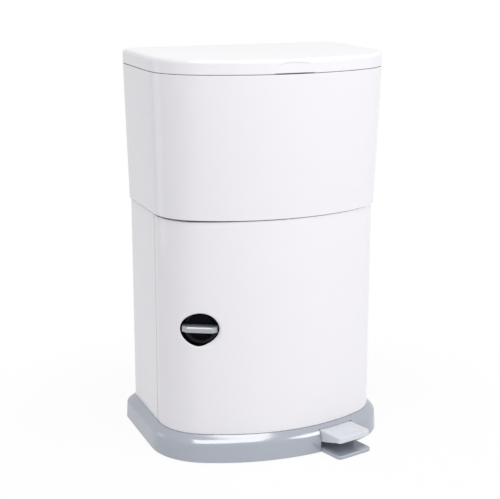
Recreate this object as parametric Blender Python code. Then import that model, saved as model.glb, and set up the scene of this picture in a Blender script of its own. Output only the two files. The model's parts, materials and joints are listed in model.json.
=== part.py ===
"""Pedal nappy bin: a tall moulded bin with a foot pedal, a tight lid and a liner door.

Pressing the pedal turns a steel lever under the deck. Its tail lifts a push rod
that runs up the rear wall. The rod turns the lid by a crank and, by a lift bar,
swings two sealing flaps down out of the throat. The front is one wrap-round door
with a turn-knob latch. Metres, Z up, front towards -Y, floor at Z = 0.
"""
import math
from collections import namedtuple

import bmesh
import bpy
from mathutils import Matrix, Vector

for leftover in list(bpy.data.objects):
    bpy.data.objects.remove(leftover, do_unlink=True)

# Clearances
SEAT = 0.0003  # between two pieces that rest on each other
PLAY = 0.0008  # between two pieces that slide past each other
BORE_PLAY = 0.00035  # round a pin that turns
OVERRUN = 0.002  # how far a cutter runs past the face that it cuts
WELD = 0.001  # how far joined shapes sink into each other

# Walls of the moulded pieces
WALL = 0.003
RAIL_THICK = 0.003
PLATE_THICK = 0.003

# Heights above the floor
FOOT_PROUD = 0.001
SHOULDER_Z = 0.030
DECK_Z = 0.048
TOTAL_HEIGHT = 0.711
BODY_TOP_SHARE = 0.614065  # of the total height, where the upper shell starts
LID_HEIGHT = 0.0261  # from the rim to the lid's top
GASKET_HEIGHT = 0.0018

# Plan sizes: the front is a shallow bow, the back is flat. Each tier is set against the one below
BOW_DEPTH = 0.0732  # rise of the bow over the full width
REAR_CORNER = 0.032
BASE_WIDTH = 0.440
BASE_FRONT = 0.0993
BASE_BACK = 0.2296
BASE_CORNER = 0.111
BASE_DRAFT = 0.0013  # how much the skirt leans in on its way up
SHOULDER_SIDE = 0.0155  # base beyond the body, at each side
SHOULDER_FRONT = 0.0142
SHOULDER_BACK = 0.0107
SHOULDER_CORNER = 0.0173
UPPER_SIDE_PROUD = 0.0037  # upper shell's foot beyond the body
UPPER_FRONT_PROUD = 0.0017
UPPER_BACK_SETBACK = 0.0030
RIM_SIDE_FLARE = 0.0072  # rim beyond the upper shell's foot
RIM_FRONT_FLARE = 0.0141
RIM_BACK_FLARE = 0.0005
RIM_CORNER_FLARE = 0.0166

# Facets round the plan and round small pieces
BOW_STEPS = 9
CORNER_STEPS = 8
REAR_STEPS = 5
ROUND_STEPS = 24
SMALL_STEPS = 16

# Pieces whose slanting cuts and flush faces need the other Boolean solver
FINE_CUTS = ("collar", "pedal", "door_panel")

# Base tray
DECK_RIM = 0.0005  # deck seen round the foot of the body
SHOULDER_SHARES = ((0, 0), (0.05, 0.20), (0.16, 0.36), (0.40, 0.58), (0.72, 0.80), (1, 1))
POST_RADIUS = 0.011
POST_FOOT_Z = 0.004
POST_PLACES_SHARE = ((-0.66, -0.15), (0.66, -0.15), (-0.78, 0.80), (0.78, 0.80))
FOOT_RADIUS = 0.009
FOOT_STEM_RADIUS = 0.003
FOOT_STEM_LENGTH = 0.008
DECK_RIB = 0.0025
DECK_RIB_DROP = 0.012
DECK_RIB_END = 0.011  # from the rod to the ribs' rear ends
LOCATING_RIM_HEIGHT = 0.007
LOCATING_RIM_THICK = 0.002

# Pedal, ledge and lever. "Out" is measured from the pivot, towards the user
PEDAL_TURN = math.radians(15.5)
PEDAL_SWING = math.radians(6.5)
LEDGE_WIDTH = 0.076
LEDGE_PROUD = 0.048  # in front of the skirt
LEDGE_TOP_Z = 0.008
LEDGE_CORNER = 0.008
LEDGE_ROOT = 0.075  # length of the ledge, most of it in front of the skirt
PEDAL_WIDTH = 0.074
PEDAL_SETBACK = 0.003  # from the ledge's front edge
PEDAL_LENGTH = 0.061
PEDAL_VISIBLE = 0.045  # length of the pedal in front of the skirt
PEDAL_TOP_Z = 0.041
PEDAL_FRONT_HEIGHT = 0.0105
PEDAL_REAR_HEIGHT = 0.0205
PEDAL_EDGE = 0.0016
PEDAL_CORNER = 0.007
TREAD_COUNT = 4
TREAD_PITCH = 0.0048
TREAD_WIDTH = 0.0018
TREAD_DEPTH = 0.0008
TREAD_LENGTH = 0.044
TREAD_SETBACK = 0.013
SLOT_MARGIN = 0.002
PIVOT_BACK = 0.1415  # pivot behind the pedal's front edge
PIVOT_Z = 0.022
AXLE_RADIUS = 0.003
LEVER_WIDTH = 0.024
LEVER_THICK = 0.004
LEVER_HUB_RADIUS = 0.0065
LEVER_FRONT_GAP = 0.010  # from the lever's front end to the pedal's front edge
LEVER_KNEE = 0.072
LEVER_STEP = 0.020
EAR_THICK = 0.003
EAR_LENGTH = 0.022
EAR_FOOT_Z = 0.014

# Push rod
ROD_RADIUS = 0.003
ROD_FROM_BACK = 0.0153  # rod's axis in front of the body's back face
ROD_FOOT_RADIUS = 0.007
ROD_FOOT_HEIGHT = 0.005
ROD_FOOT_CROWN = 0.0012
ROD_FOOT_FLAT_SHARE = 1 / 3  # flat middle of the crowned foot
ROD_COLLAR_RADIUS = 0.005
ROD_COLLAR_HEIGHT = 0.003
ROD_TOP_IN_YOKE = 0.0055
GUIDE_HALF_WIDTH = 0.009
GUIDE_HEIGHT = 0.010
GUIDE_FRONT_WALL = 0.004
LOWER_GUIDE_SHARES = (0.237, 0.906)  # of the body's height
UPPER_GUIDE_SHARES = (0.254, 0.819)  # of the upper shell's height
COVER_HALF_WIDTH = 0.0135
COVER_DEPTH = 0.0255
COVER_THICK = 0.002
COVER_TOP_GAP = 0.0006
DECK_HOLE_RADIUS = 0.0055

# Upper shell
FLANGE_WIDTH = 0.024
SHELF_WIDTH = 0.007
SHELF_DROP = 0.0059  # shelf top below the rim
SHELF_HAUNCH = 0.004

# Collar with its throat, flap ears and cassette ledge
COLLAR_GAP = 0.0006
THROAT_SHIFT = 0.00425  # behind the middle of the rim
THROAT_WIDTH = 0.200
THROAT_DEPTH = 0.160
THROAT_FLARE = 0.005
THROAT_CORNER = 0.022
THROAT_DROP = 0.0849  # throat's foot below the rim
CASSETTE_LEDGE_DROP = 0.0689
CASSETTE_LEDGE_WIDTH = 0.026
CASSETTE_HEIGHT = 0.036
CASSETTE_WIDTH = 0.022
CASSETTE_THICK = 0.002
CASSETTE_GAP = 0.0012
THROAT_STEPS = 5

# Sealing flaps
FLAP_DROP = 0.0999  # flap pivots below the rim
FLAP_OPEN = math.radians(62)
FLAP_THICK = 0.004
FLAP_BARREL = 0.0045
FLAP_PIVOT_OUT = 0.002  # pivots outside the throat's inner faces
FLAP_SIDE_GAP = 0.0008
FLAP_MEET_GAP = 0.0006
FLAP_RIB = 0.003
FLAP_RIB_DROP = 0.006
TRUNNION_RADIUS = 0.003
FLAP_SEAL_WIDTH = 0.007
FLAP_SEAL_THICK = 0.0025
SEAL_OVERHANG_SHARE = 1 / 3  # of the lip's width, past the flap's edge
EAR_HALF_LENGTH = 0.009
EAR_SETBACK = 0.0004  # ears stand this much outside the throat's foot
EAR_UNDER_PIVOT = 0.008
CRANK_THICK = 0.003
CRANK_HUB_RADIUS = 0.006
CRANK_PIN_RADIUS = 0.0025
CRANK_EYE_RADIUS = 0.005
CRANK_GAP = 0.001
LIFT_BAR_THICK = 0.003
LIFT_BAR_HEIGHT = 0.016
LIFT_BAR_GAP = 0.006  # from the flap cranks to the bar
LIFT_BAR_END = 0.008
LIFT_HUB_RADIUS = 0.0065
SLOT_RISE_PLAY = 0.0007  # a crank pin rises by a sine, the rod by a straight line

# Lid and its hinge
LID_EDGE_RADIUS = 0.0075
LID_EDGE_STEPS = 5
LID_OPEN = math.radians(75)
HINGE_BACK = 0.0060  # hinge axis behind the rim's back face
HINGE_RISE = 0.0026  # hinge axis above the rim
KNUCKLE_RADIUS = 0.0055
KNUCKLE_INNER_X = 0.060
KNUCKLE_OUTER_X = 0.110
KNUCKLE_LENGTH = 0.012
KNUCKLE_GAP = 0.0005
KNUCKLE_WEB_DROP = 0.018
KNUCKLE_WEB_RISE = 0.0105
HINGE_PIN_RADIUS = 0.002
HINGE_PIN_PROUD = 0.0012
GASKET_INSET = 0.0012
GASKET_WIDTH = 0.003
LINING_RISE = 0.0012  # lid lining above the lid's lower edge
LINING_THICK = 0.0025
LINING_GAP = 0.0005
LID_CRANK_THICK = 0.003
LID_CRANK_GAP = 0.0012
LID_CRANK_WIDTH = 0.009
LID_CRANK_FOOT = 0.026
LID_CRANK_FOOT_THICK = 0.002
LID_CRANK_FOOT_FRONT = 0.032  # front end of the foot, from the hinge
LID_CRANK_FOOT_BACK = 0.012
YOKE_HALF_WIDTH = 0.0055
YOKE_WALL = 0.002
YOKE_TOP_WALL = 0.0023
YOKE_DROP = 0.010
NOTCH_WIDTH = 0.072
NOTCH_HEIGHT = 0.018
NOTCH_DEPTH = 0.005
NOTCH_FULLNESS = 0.7  # below 1 squares the arch's shoulders
NOTCH_BACKING = 0.0035
NOTCH_MARGIN = 0.004

# Door, its hinge and its latch
SEAM_Y = 0.0442  # rear edges of the door
SEAM_GAP = 0.0008
DOOR_FOOT_GAP = 0.0008
DOOR_TOP_GAP = 0.0024
DOOR_RAIL_WIDTH = 0.012
DOOR_RAIL_SETBACK = 0.002
DOOR_RETURN = 0.005
BEAD_RADIUS = 0.0042
DOOR_PIN_RADIUS = 0.002
DOOR_PIN_LENGTH = 0.010
DOOR_PIN_PROUD = 0.0028
SHELL_RETURN = 0.012
KNOB_INSET = 0.0535  # from the body's left side
KNOB_HEIGHT_SHARE = 0.4966  # of the body's height
RECESS_RADIUS = 0.0305
LIP_THICK = 0.006
LIP_DEPTH = 0.005
KNOB_SHIFT = 0.0040  # knob's axis left of the middle of the opening
CUP_RADIUS = 0.0335
CUP_WALL = 0.0025
CUP_FLOOR_THICK = 0.003
KNOB_DISC_RADIUS = 0.024
KNOB_DISC_THICK = 0.004
KNOB_BAR_LENGTH = 0.0632
KNOB_BAR_WIDTH = 0.010
KNOB_BAR_DEPTH = 0.020
KNOB_BAR_CHAMFER = 0.006
KNOB_BAR_SETBACK = 0.001  # bar's front behind the door's face
SPINDLE_RADIUS = 0.005
SPINDLE_LENGTH = 0.0205  # behind the cup's floor
TONGUE_LENGTH = 0.0605
TONGUE_WIDTH = 0.012
TONGUE_THICK = 0.003
LATCH_SCREW_RADIUS = 0.002
LATCH_SCREW_HEAD = 0.0045
LATCH_SCREW_HEAD_THICK = 0.0025
LATCH_SCREW_DEPTH = 0.010
KEEPER_GAP = 0.002
KEEPER_THICK = 0.003
KEEPER_LIP = 0.009
KEEPER_FOOT = 0.012
KEEPER_HEIGHT = 0.030

Plan = namedtuple("Plan", "width front back bow corner rear")


def bow_radius(width):
    """Radius of the arc that rises BOW_DEPTH over the width."""
    half = width / 2
    return (half * half + BOW_DEPTH * BOW_DEPTH) / (2 * BOW_DEPTH)


def plan_of(width, front, back, corner):
    return Plan(width, front, back, bow_radius(width), corner, REAR_CORNER)


def inset(plan, depth):
    """The plan moved inwards by one depth all round."""
    width = plan.width - 2 * depth
    return Plan(width, *(size - depth for size in plan[1:]))


def between(first, last, share):
    return Plan(*(a + (b - a) * share for a, b in zip(first, last)))


def steps(first, last, count):
    return [first + (last - first) * i / count for i in range(count + 1)]


def half_outline(plan):
    """Right half of a plan: the bow from x = 0, the front corner, the side, the rear corner."""
    bow_y = plan.bow - plan.front
    front_x = plan.width / 2 - plan.corner
    front_y = bow_y - math.sqrt((plan.bow - plan.corner) ** 2 - front_x**2)
    meet = math.atan2(front_x, bow_y - front_y)
    rear_x = plan.width / 2 - plan.rear
    rear_y = plan.back - plan.rear
    bow = [
        (plan.bow * math.sin(a), bow_y - plan.bow * math.cos(a))
        for a in steps(0, meet, BOW_STEPS)
    ]
    corner = [
        (front_x + plan.corner * math.sin(a), front_y - plan.corner * math.cos(a))
        for a in steps(meet, math.pi / 2, CORNER_STEPS)[1:]
    ]
    rear = [
        (rear_x + plan.rear * math.cos(a), rear_y + plan.rear * math.sin(a))
        for a in steps(0, math.pi / 2, REAR_STEPS)
    ]
    return bow, corner, rear


def mirrored(points):
    return [(-x, y) for x, y in reversed(points)]


def outline(plan):
    """The whole plan, anticlockwise from the middle of the front."""
    bow, corner, rear = half_outline(plan)
    right = bow + corner + rear
    return right + mirrored(right[1:])


def front_path(plan, left_y, right_y):
    """The front and both corners, from left_y on the left side to right_y on the right side."""
    bow, corner, _ = half_outline(plan)
    right = bow + corner
    half = plan.width / 2
    return [(-half, left_y)] + mirrored(right[1:]) + right + [(half, right_y)]


def rear_path(plan, edge_y):
    """The sides and the back, from the right side at edge_y to the left side at edge_y."""
    _, _, rear = half_outline(plan)
    right = [(plan.width / 2, edge_y)] + rear
    return right + mirrored(right)


def rounded(width, depth, corner, centre_y):
    """A rounded rectangle, anticlockwise."""
    points = []
    for turn, (sx, sy) in enumerate(((1, 1), (-1, 1), (-1, -1), (1, -1))):
        cx = sx * (width / 2 - corner)
        cy = centre_y + sy * (depth / 2 - corner)
        for a in steps(turn * math.pi / 2, (turn + 1) * math.pi / 2, THROAT_STEPS):
            points.append((cx + corner * math.cos(a), cy + corner * math.sin(a)))
    return points


def circle(radius, count=ROUND_STEPS, centre=(0, 0)):
    turns = [2 * math.pi * i / count for i in range(count)]
    return [(centre[0] + radius * math.cos(a), centre[1] + radius * math.sin(a)) for a in turns]


BODY_WIDTH = BASE_WIDTH - 2 * SHOULDER_SIDE
BODY_FRONT = BASE_FRONT - SHOULDER_FRONT
BODY_BACK = BASE_BACK - SHOULDER_BACK
BODY_CORNER = BASE_CORNER - SHOULDER_CORNER
UPPER_WIDTH = BODY_WIDTH + 2 * UPPER_SIDE_PROUD
UPPER_FRONT = BODY_FRONT + UPPER_FRONT_PROUD
UPPER_BACK = BODY_BACK - UPPER_BACK_SETBACK
UPPER_CORNER = BODY_CORNER
RIM_WIDTH = UPPER_WIDTH + 2 * RIM_SIDE_FLARE
RIM_FRONT = UPPER_FRONT + RIM_FRONT_FLARE
RIM_BACK = UPPER_BACK + RIM_BACK_FLARE
RIM_CORNER = UPPER_CORNER + RIM_CORNER_FLARE

BASE = plan_of(BASE_WIDTH, BASE_FRONT, BASE_BACK, BASE_CORNER)
BODY = plan_of(BODY_WIDTH, BODY_FRONT, BODY_BACK, BODY_CORNER)
UPPER = plan_of(UPPER_WIDTH, UPPER_FRONT, UPPER_BACK, UPPER_CORNER)
RIM = plan_of(RIM_WIDTH, RIM_FRONT, RIM_BACK, RIM_CORNER)

# Levels that follow from the driving heights
BODY_TOP_Z = TOTAL_HEIGHT * BODY_TOP_SHARE
RIM_Z = TOTAL_HEIGHT - LID_HEIGHT
DECK_UNDER_Z = DECK_Z - WALL
DOOR_FOOT_Z = DECK_Z + DOOR_FOOT_GAP
UPPER_FOOT_Z = BODY_TOP_Z + SEAT
DOOR_TOP_Z = UPPER_FOOT_Z - DOOR_TOP_GAP
GASKET_Z = RIM_Z + SEAT
LID_FOOT_Z = GASKET_Z + GASKET_HEIGHT + SEAT
SHELF_Z = RIM_Z - SHELF_DROP
COLLAR_Z = SHELF_Z + SEAT
COLLAR_TOP_Z = COLLAR_Z + PLATE_THICK
THROAT_Y = (RIM_BACK - RIM_FRONT) / 2 + THROAT_SHIFT
THROAT_FOOT_Z = RIM_Z - THROAT_DROP
CASSETTE_LEDGE_Z = RIM_Z - CASSETTE_LEDGE_DROP
FLAP_Z = RIM_Z - FLAP_DROP
ROD_Y = BODY_BACK - ROD_FROM_BACK

# Pedal frame: out along the pedal, side along its axle
OUT = Vector((math.sin(PEDAL_TURN), -math.cos(PEDAL_TURN), 0))
SIDE = Vector((math.cos(PEDAL_TURN), math.sin(PEDAL_TURN), 0))
UP = Vector((0, 0, 1))
BOW_CENTRE = Vector((0, BASE.bow - BASE.front, 0))
LEDGE_REACH = BASE.bow + LEDGE_PROUD
PEDAL_REACH = LEDGE_REACH - PEDAL_SETBACK
PIVOT = BOW_CENTRE + OUT * (PEDAL_REACH - PIVOT_BACK) + UP * PIVOT_Z
LEVER_TAIL = (ROD_Y - PIVOT.y) / math.cos(PEDAL_TURN)
ROD_X = PIVOT.x - LEVER_TAIL * math.sin(PEDAL_TURN)
ROD_TRAVEL = 2 * LEVER_TAIL * math.sin(PEDAL_SWING / 2)
TAIL_Z = PIVOT_Z - ROD_TRAVEL / 2

# Cranks turn by half their swing to each side of level, so each one lifts by the rod's travel
HINGE_Y = RIM_BACK + HINGE_BACK
HINGE_Z = RIM_Z + HINGE_RISE
LID_CRANK = ROD_TRAVEL / (2 * math.sin(LID_OPEN / 2))
LID_PIN_Y = HINGE_Y - LID_CRANK * math.cos(LID_OPEN / 2)
LID_PIN_Z = HINGE_Z - ROD_TRAVEL / 2
FLAP_CRANK = ROD_TRAVEL / (2 * math.sin(FLAP_OPEN / 2))
FLAP_PIN_OUT = FLAP_CRANK * math.cos(FLAP_OPEN / 2)
FLAP_PIN_Z = FLAP_Z - ROD_TRAVEL / 2

DOOR_AXIS_X = BODY_WIDTH / 2 - BEAD_RADIUS
DOOR_AXIS_Y = SEAM_Y - BEAD_RADIUS
KNOB_X = KNOB_INSET - BODY_WIDTH / 2
KNOB_Z = DECK_Z + (BODY_TOP_Z - DECK_Z) * KNOB_HEIGHT_SHARE
CUP_FLOOR = KNOB_BAR_SETBACK + KNOB_BAR_DEPTH + KNOB_DISC_THICK + SEAT
CUP_BACK = CUP_FLOOR + CUP_FLOOR_THICK
SPINDLE_END = CUP_BACK + SPINDLE_LENGTH
TONGUE_FRONT = SPINDLE_END + SEAT

# Reach of the lid crank's pin along y gives the yoke its length
YOKE_FRONT_Y = HINGE_Y - LID_CRANK - CRANK_PIN_RADIUS - PLAY - YOKE_WALL
YOKE_BACK_Y = LID_PIN_Y + CRANK_PIN_RADIUS + PLAY + YOKE_WALL
LID_CRANK_X = ROD_X + YOKE_HALF_WIDTH + LID_CRANK_GAP


def finish(name, colour, roughness, metallic=0.0):
    material = bpy.data.materials.new(name)
    material.use_nodes = True
    shader = material.node_tree.nodes["Principled BSDF"]
    shader.inputs["Base Color"].default_value = (*colour, 1)
    shader.inputs["Roughness"].default_value = roughness
    shader.inputs["Metallic"].default_value = metallic
    material.diffuse_color = (*colour, 1)
    return material


WHITE = (0.86, 0.86, 0.88)
BLUE_GREY = (0.48, 0.53, 0.60)
PALE_GREY = (0.62, 0.65, 0.70)
MID_GREY = (0.42, 0.44, 0.47)
BLACK = (0.015, 0.015, 0.017)
STEEL = (0.60, 0.61, 0.62)
DARK_RUBBER = (0.05, 0.05, 0.055)
SEAL_GREY = (0.30, 0.31, 0.33)


def solid(name, points, faces, material):
    """A mesh object whose faces all point out."""
    mesh = bpy.data.meshes.new(name)
    mesh.from_pydata([tuple(point) for point in points], [], faces)
    shape = bmesh.new()
    shape.from_mesh(mesh)
    bmesh.ops.recalc_face_normals(shape, faces=shape.faces)
    shape.to_mesh(mesh)
    shape.free()
    mesh.shade_smooth()
    mesh.set_sharp_from_angle(angle=math.radians(35))
    if material:
        mesh.materials.append(material)
    made = bpy.data.objects.new(name, mesh)
    bpy.context.collection.objects.link(made)
    return made


def loft(name, rings, material=None, ring=False):
    """Rings of as many points, one above another. A ring section joins its last to its first."""
    count = len(rings[0][0])
    points = [(x, y, z) for outline_points, z in rings for x, y in outline_points]
    faces = []
    last = len(rings) if ring else len(rings) - 1
    for i in range(last):
        low = i * count
        high = (i + 1) % len(rings) * count
        for j in range(count):
            k = (j + 1) % count
            faces.append((low + j, low + k, high + k, high + j))
    if not ring:
        faces.append(tuple(reversed(range(count))))
        faces.append(tuple(range(last * count, (last + 1) * count)))
    return solid(name, points, faces, material)


def prism(name, outline_points, low, high, material=None, at=None):
    """An outline in the first two axes of a frame, drawn out along the third."""
    at = at or Matrix.Identity(4)
    count = len(outline_points)
    points = [at @ Vector((u, v, w)) for w in (low, high) for u, v in outline_points]
    faces = [(i, (i + 1) % count, count + (i + 1) % count, count + i) for i in range(count)]
    faces += [tuple(reversed(range(count))), tuple(range(count, 2 * count))]
    return solid(name, points, faces, material)


def box(name, low, high, material=None):
    corners = ((low[0], low[1]), (high[0], low[1]), (high[0], high[1]), (low[0], high[1]))
    return prism(name, corners, low[2], high[2], material)


def frame(origin, first, second):
    """A frame with its first two axes along the given directions."""
    third = first.cross(second)
    rows = [(first[i], second[i], third[i], origin[i]) for i in range(3)]
    return Matrix((*rows, (0, 0, 0, 1)))


X_AXIS = Vector((1, 0, 0))
Y_AXIS = Vector((0, 1, 0))
ALONG_X = frame(Vector(), Y_AXIS, UP)  # outlines in (y, z), drawn out along x
ALONG_Y = frame(Vector(), UP, X_AXIS)  # outlines in (z, x), drawn out along y
ALONG_SIDE = frame(PIVOT, OUT, UP)  # outlines in (out, up) from the pivot, drawn out sideways
# The cross product of OUT and UP points to -SIDE, and every such outline is symmetric in it


def bow_y(plan, x):
    """Front of the plan at x, on the bow's arc."""
    return plan.bow - plan.front - math.sqrt(plan.bow**2 - x**2)


# Knob frame: the knob's axis stands square to the door's face at the middle of the opening
KNOB_TURN = math.asin(-KNOB_X / BODY.bow)
KNOB_ALONG = Vector((math.cos(KNOB_TURN), -math.sin(KNOB_TURN), 0))
KNOB_IN = Vector((math.sin(KNOB_TURN), math.cos(KNOB_TURN), 0))
KNOB_PLACE = Vector((KNOB_X, bow_y(BODY, KNOB_X), KNOB_Z)) - KNOB_ALONG * KNOB_SHIFT
ALONG_KNOB = frame(KNOB_PLACE, UP, KNOB_ALONG)  # outlines in (up, along), drawn out inwards
ACROSS_KNOB = frame(KNOB_PLACE, KNOB_ALONG, KNOB_IN)  # outlines in (along, in), drawn out upwards


def rod_along_x(name, radius, low, high, y, z, material=None, count=SMALL_STEPS):
    return prism(name, circle(radius, count, (y, z)), low, high, material, ALONG_X)


def rod_along_y(name, radius, low, high, x, z, material=None, count=ROUND_STEPS):
    return prism(name, circle(radius, count, (z, x)), low, high, material, ALONG_Y)


def rod_along_z(name, radius, low, high, x, y, material=None, count=SMALL_STEPS):
    return prism(name, circle(radius, count, (x, y)), low, high, material)


def rod_along_knob(name, radius, low, high, material=None, count=ROUND_STEPS):
    return prism(name, circle(radius, count), low, high, material, ALONG_KNOB)


def use(target, tool, operation):
    modifier = target.modifiers.new(tool.name, "BOOLEAN")
    modifier.operation = operation
    modifier.solver = "MANIFOLD" if target.name in FINE_CUTS else "EXACT"
    modifier.object = tool
    tool.hide_render = True
    tool.display_type = "WIRE"


def join(target, *tools):
    for tool in tools:
        use(target, tool, "UNION")
    return target


def cut(target, *tools):
    for tool in tools:
        use(target, tool, "DIFFERENCE")
    return target


def keep(target, tool):
    use(target, tool, "INTERSECT")
    return target


def joint_empty(name, place, parent):
    empty = bpy.data.objects.new(name, None)
    empty.location = place
    empty.parent = parent
    bpy.context.collection.objects.link(empty)
    return empty


def carry(piece, joint, place):
    """Put the piece and its tools on a joint, with their origins on its axis."""
    if piece.parent:
        return
    piece.data.transform(Matrix.Translation(-place))
    piece.parent = joint
    for modifier in piece.modifiers:
        carry(modifier.object, joint, place)


def base_tray(material):
    """Upturned tray: skirt, rolled shoulder and deck, with the fixed ledge under the pedal."""
    edge = inset(BASE, BASE_DRAFT)
    deck = inset(BODY, -DECK_RIM)
    rise = DECK_Z - SHOULDER_Z
    shoulder = [
        (outline(between(edge, deck, inward)), SHOULDER_Z + rise * up)
        for inward, up in reversed(SHOULDER_SHARES)
    ]
    rings = shoulder + [
        (outline(BASE), FOOT_PROUD),
        (outline(inset(BASE, WALL)), FOOT_PROUD),
        (outline(inset(edge, WALL)), SHOULDER_Z),
        (outline(inset(BODY, WALL)), DECK_UNDER_Z),
    ]
    tray = loft("base_tray", rings, material)
    slot_half = PEDAL_WIDTH / 2 + SLOT_MARGIN
    slot_top = PEDAL_TOP_Z + PLAY
    skirt_out = BASE.bow - PEDAL_REACH + PIVOT_BACK
    slot_low = (LEDGE_TOP_Z + FOOT_PROUD) / 2 - PIVOT_Z
    slot_points = (
        (skirt_out - PEDAL_LENGTH / 2, slot_low),
        (skirt_out + PEDAL_LENGTH / 2, slot_low),
        (skirt_out + PEDAL_LENGTH / 2, slot_top - PIVOT_Z),
        (skirt_out - PEDAL_LENGTH / 2, slot_top - PIVOT_Z),
    )
    cut(tray, prism("pedal_slot_tool", slot_points, -slot_half, slot_half, at=ALONG_SIDE))
    join(tray, ledge_tool())
    for side in (-1, 1):
        join(tray, pivot_ear_tool(side))
    for number, place in enumerate(post_places()):
        join(tray, post_tool(number, place))
    join(tray, *deck_ribs())
    join(tray, locating_rim())
    reach = LEVER_WIDTH / 2 + 2 * EAR_THICK + OVERRUN
    bore = prism(
        "ear_bore_tool",
        circle(AXLE_RADIUS + SEAT, SMALL_STEPS),
        -reach,
        reach,
        at=ALONG_SIDE,
    )
    rod_hole = rod_along_z(
        "deck_hole_tool", DECK_HOLE_RADIUS, DECK_UNDER_Z - OVERRUN, DECK_Z + OVERRUN, ROD_X, ROD_Y
    )
    pin_hole = rod_along_z(
        "door_socket_tool",
        DOOR_PIN_RADIUS + BORE_PLAY,
        DECK_UNDER_Z - OVERRUN,
        DECK_Z + OVERRUN,
        DOOR_AXIS_X,
        DOOR_AXIS_Y,
    )
    cut(tray, bore, rod_hole, pin_hole)
    for number, (x, y) in enumerate(post_places()):
        top = POST_FOOT_Z + FOOT_STEM_LENGTH
        cut(
            tray,
            rod_along_z(
                f"foot_socket_tool_{number}",
                FOOT_STEM_RADIUS + SEAT,
                POST_FOOT_Z - OVERRUN,
                top + SEAT,
                x,
                y,
            ),
        )
    return tray


def ledge_tool():
    """The fixed foot under the pedal: a plate with rounded front corners."""
    front = LEDGE_REACH - PEDAL_REACH + PIVOT_BACK
    return rounded_front_plate(
        "ledge_tool", front, LEDGE_ROOT, LEDGE_WIDTH, LEDGE_CORNER, [(0, FOOT_PROUD), (0, LEDGE_TOP_Z)]
    )


def rounded_front_plate(name, front, length, width, corner, levels, material=None):
    """A plate in the pedal frame. Each level is (inset, z), so its edges can be rounded."""
    rings = []
    for depth, z in levels:
        half = width / 2 - depth
        radius = corner
        tip = front - depth
        points = [(tip - length, -half)]
        for a in steps(-math.pi / 2, 0, THROAT_STEPS):
            points.append((tip - radius + radius * math.cos(a), -half + radius + radius * math.sin(a)))
        for a in steps(0, math.pi / 2, THROAT_STEPS):
            points.append((tip - radius + radius * math.cos(a), half - radius + radius * math.sin(a)))
        points.append((tip - length, half))
        places = [PIVOT + OUT * out + SIDE * side for out, side in points]
        rings.append(([(place.x, place.y) for place in places], z))
    return loft(name, rings, material)


def pivot_ear_tool(side):
    """One ear that hangs from the deck and holds the lever's axle."""
    near = side * (LEVER_WIDTH / 2 + PLAY)
    far = near + side * EAR_THICK
    half = EAR_LENGTH / 2
    points = (
        (-half, DECK_UNDER_Z + WELD - PIVOT_Z),
        (-half / 2, EAR_FOOT_Z - PIVOT_Z),
        (half / 2, EAR_FOOT_Z - PIVOT_Z),
        (half, DECK_UNDER_Z + WELD - PIVOT_Z),
    )
    return prism(f"ear_tool_{side}", points, min(near, far), max(near, far), at=ALONG_SIDE)


def post_places():
    """Posts stand at shares of the body's half width, and of its front or back."""
    places = []
    for x_share, y_share in POST_PLACES_SHARE:
        depth = BODY_BACK if y_share > 0 else BODY_FRONT
        places.append((x_share * BODY_WIDTH / 2, y_share * depth))
    return places


def post_tool(number, place):
    return rod_along_z(
        f"post_tool_{number}",
        POST_RADIUS,
        POST_FOOT_Z,
        DECK_UNDER_Z + WELD,
        *place,
    )


def deck_ribs():
    """Ribs under the deck, either side of the lever's path."""
    ribs = []
    top = DECK_UNDER_Z + WELD - PIVOT_Z
    foot = top - DECK_RIB_DROP
    for side in (-1, 1):
        near = side * (LEVER_WIDTH / 2 + PLAY)
        far = near + side * DECK_RIB
        points = (
            (-LEVER_TAIL + DECK_RIB_END, top),
            (-LEVER_TAIL + DECK_RIB_END, foot),
            (-EAR_LENGTH / 2, foot),
            (-EAR_LENGTH / 2, top),
        )
        name = f"deck_rib_tool_{side}"
        ribs.append(prism(name, points, min(near, far), max(near, far), at=ALONG_SIDE))
    return ribs


def locating_rim():
    """A low rim on the deck that centres the rear shell."""
    outer = inset(BODY, WALL + SEAT)
    inner = inset(outer, LOCATING_RIM_THICK)
    front_y = SEAM_Y + SEAM_GAP + 2 * WALL
    points = rear_path(outer, front_y) + list(reversed(rear_path(inner, front_y)))
    return prism("locating_rim_tool", points, DECK_Z - WELD, DECK_Z + LOCATING_RIM_HEIGHT)


def rubber_foot(number, place, material):
    pad = rod_along_z(
        f"foot_{number}", FOOT_RADIUS, 0, POST_FOOT_Z - SEAT, *place, material
    )
    stem = rod_along_z(
        f"foot_stem_tool_{number}",
        FOOT_STEM_RADIUS,
        POST_FOOT_Z - SEAT - WELD,
        POST_FOOT_Z + FOOT_STEM_LENGTH - SEAT,
        *place,
    )
    return join(pad, stem)


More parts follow.
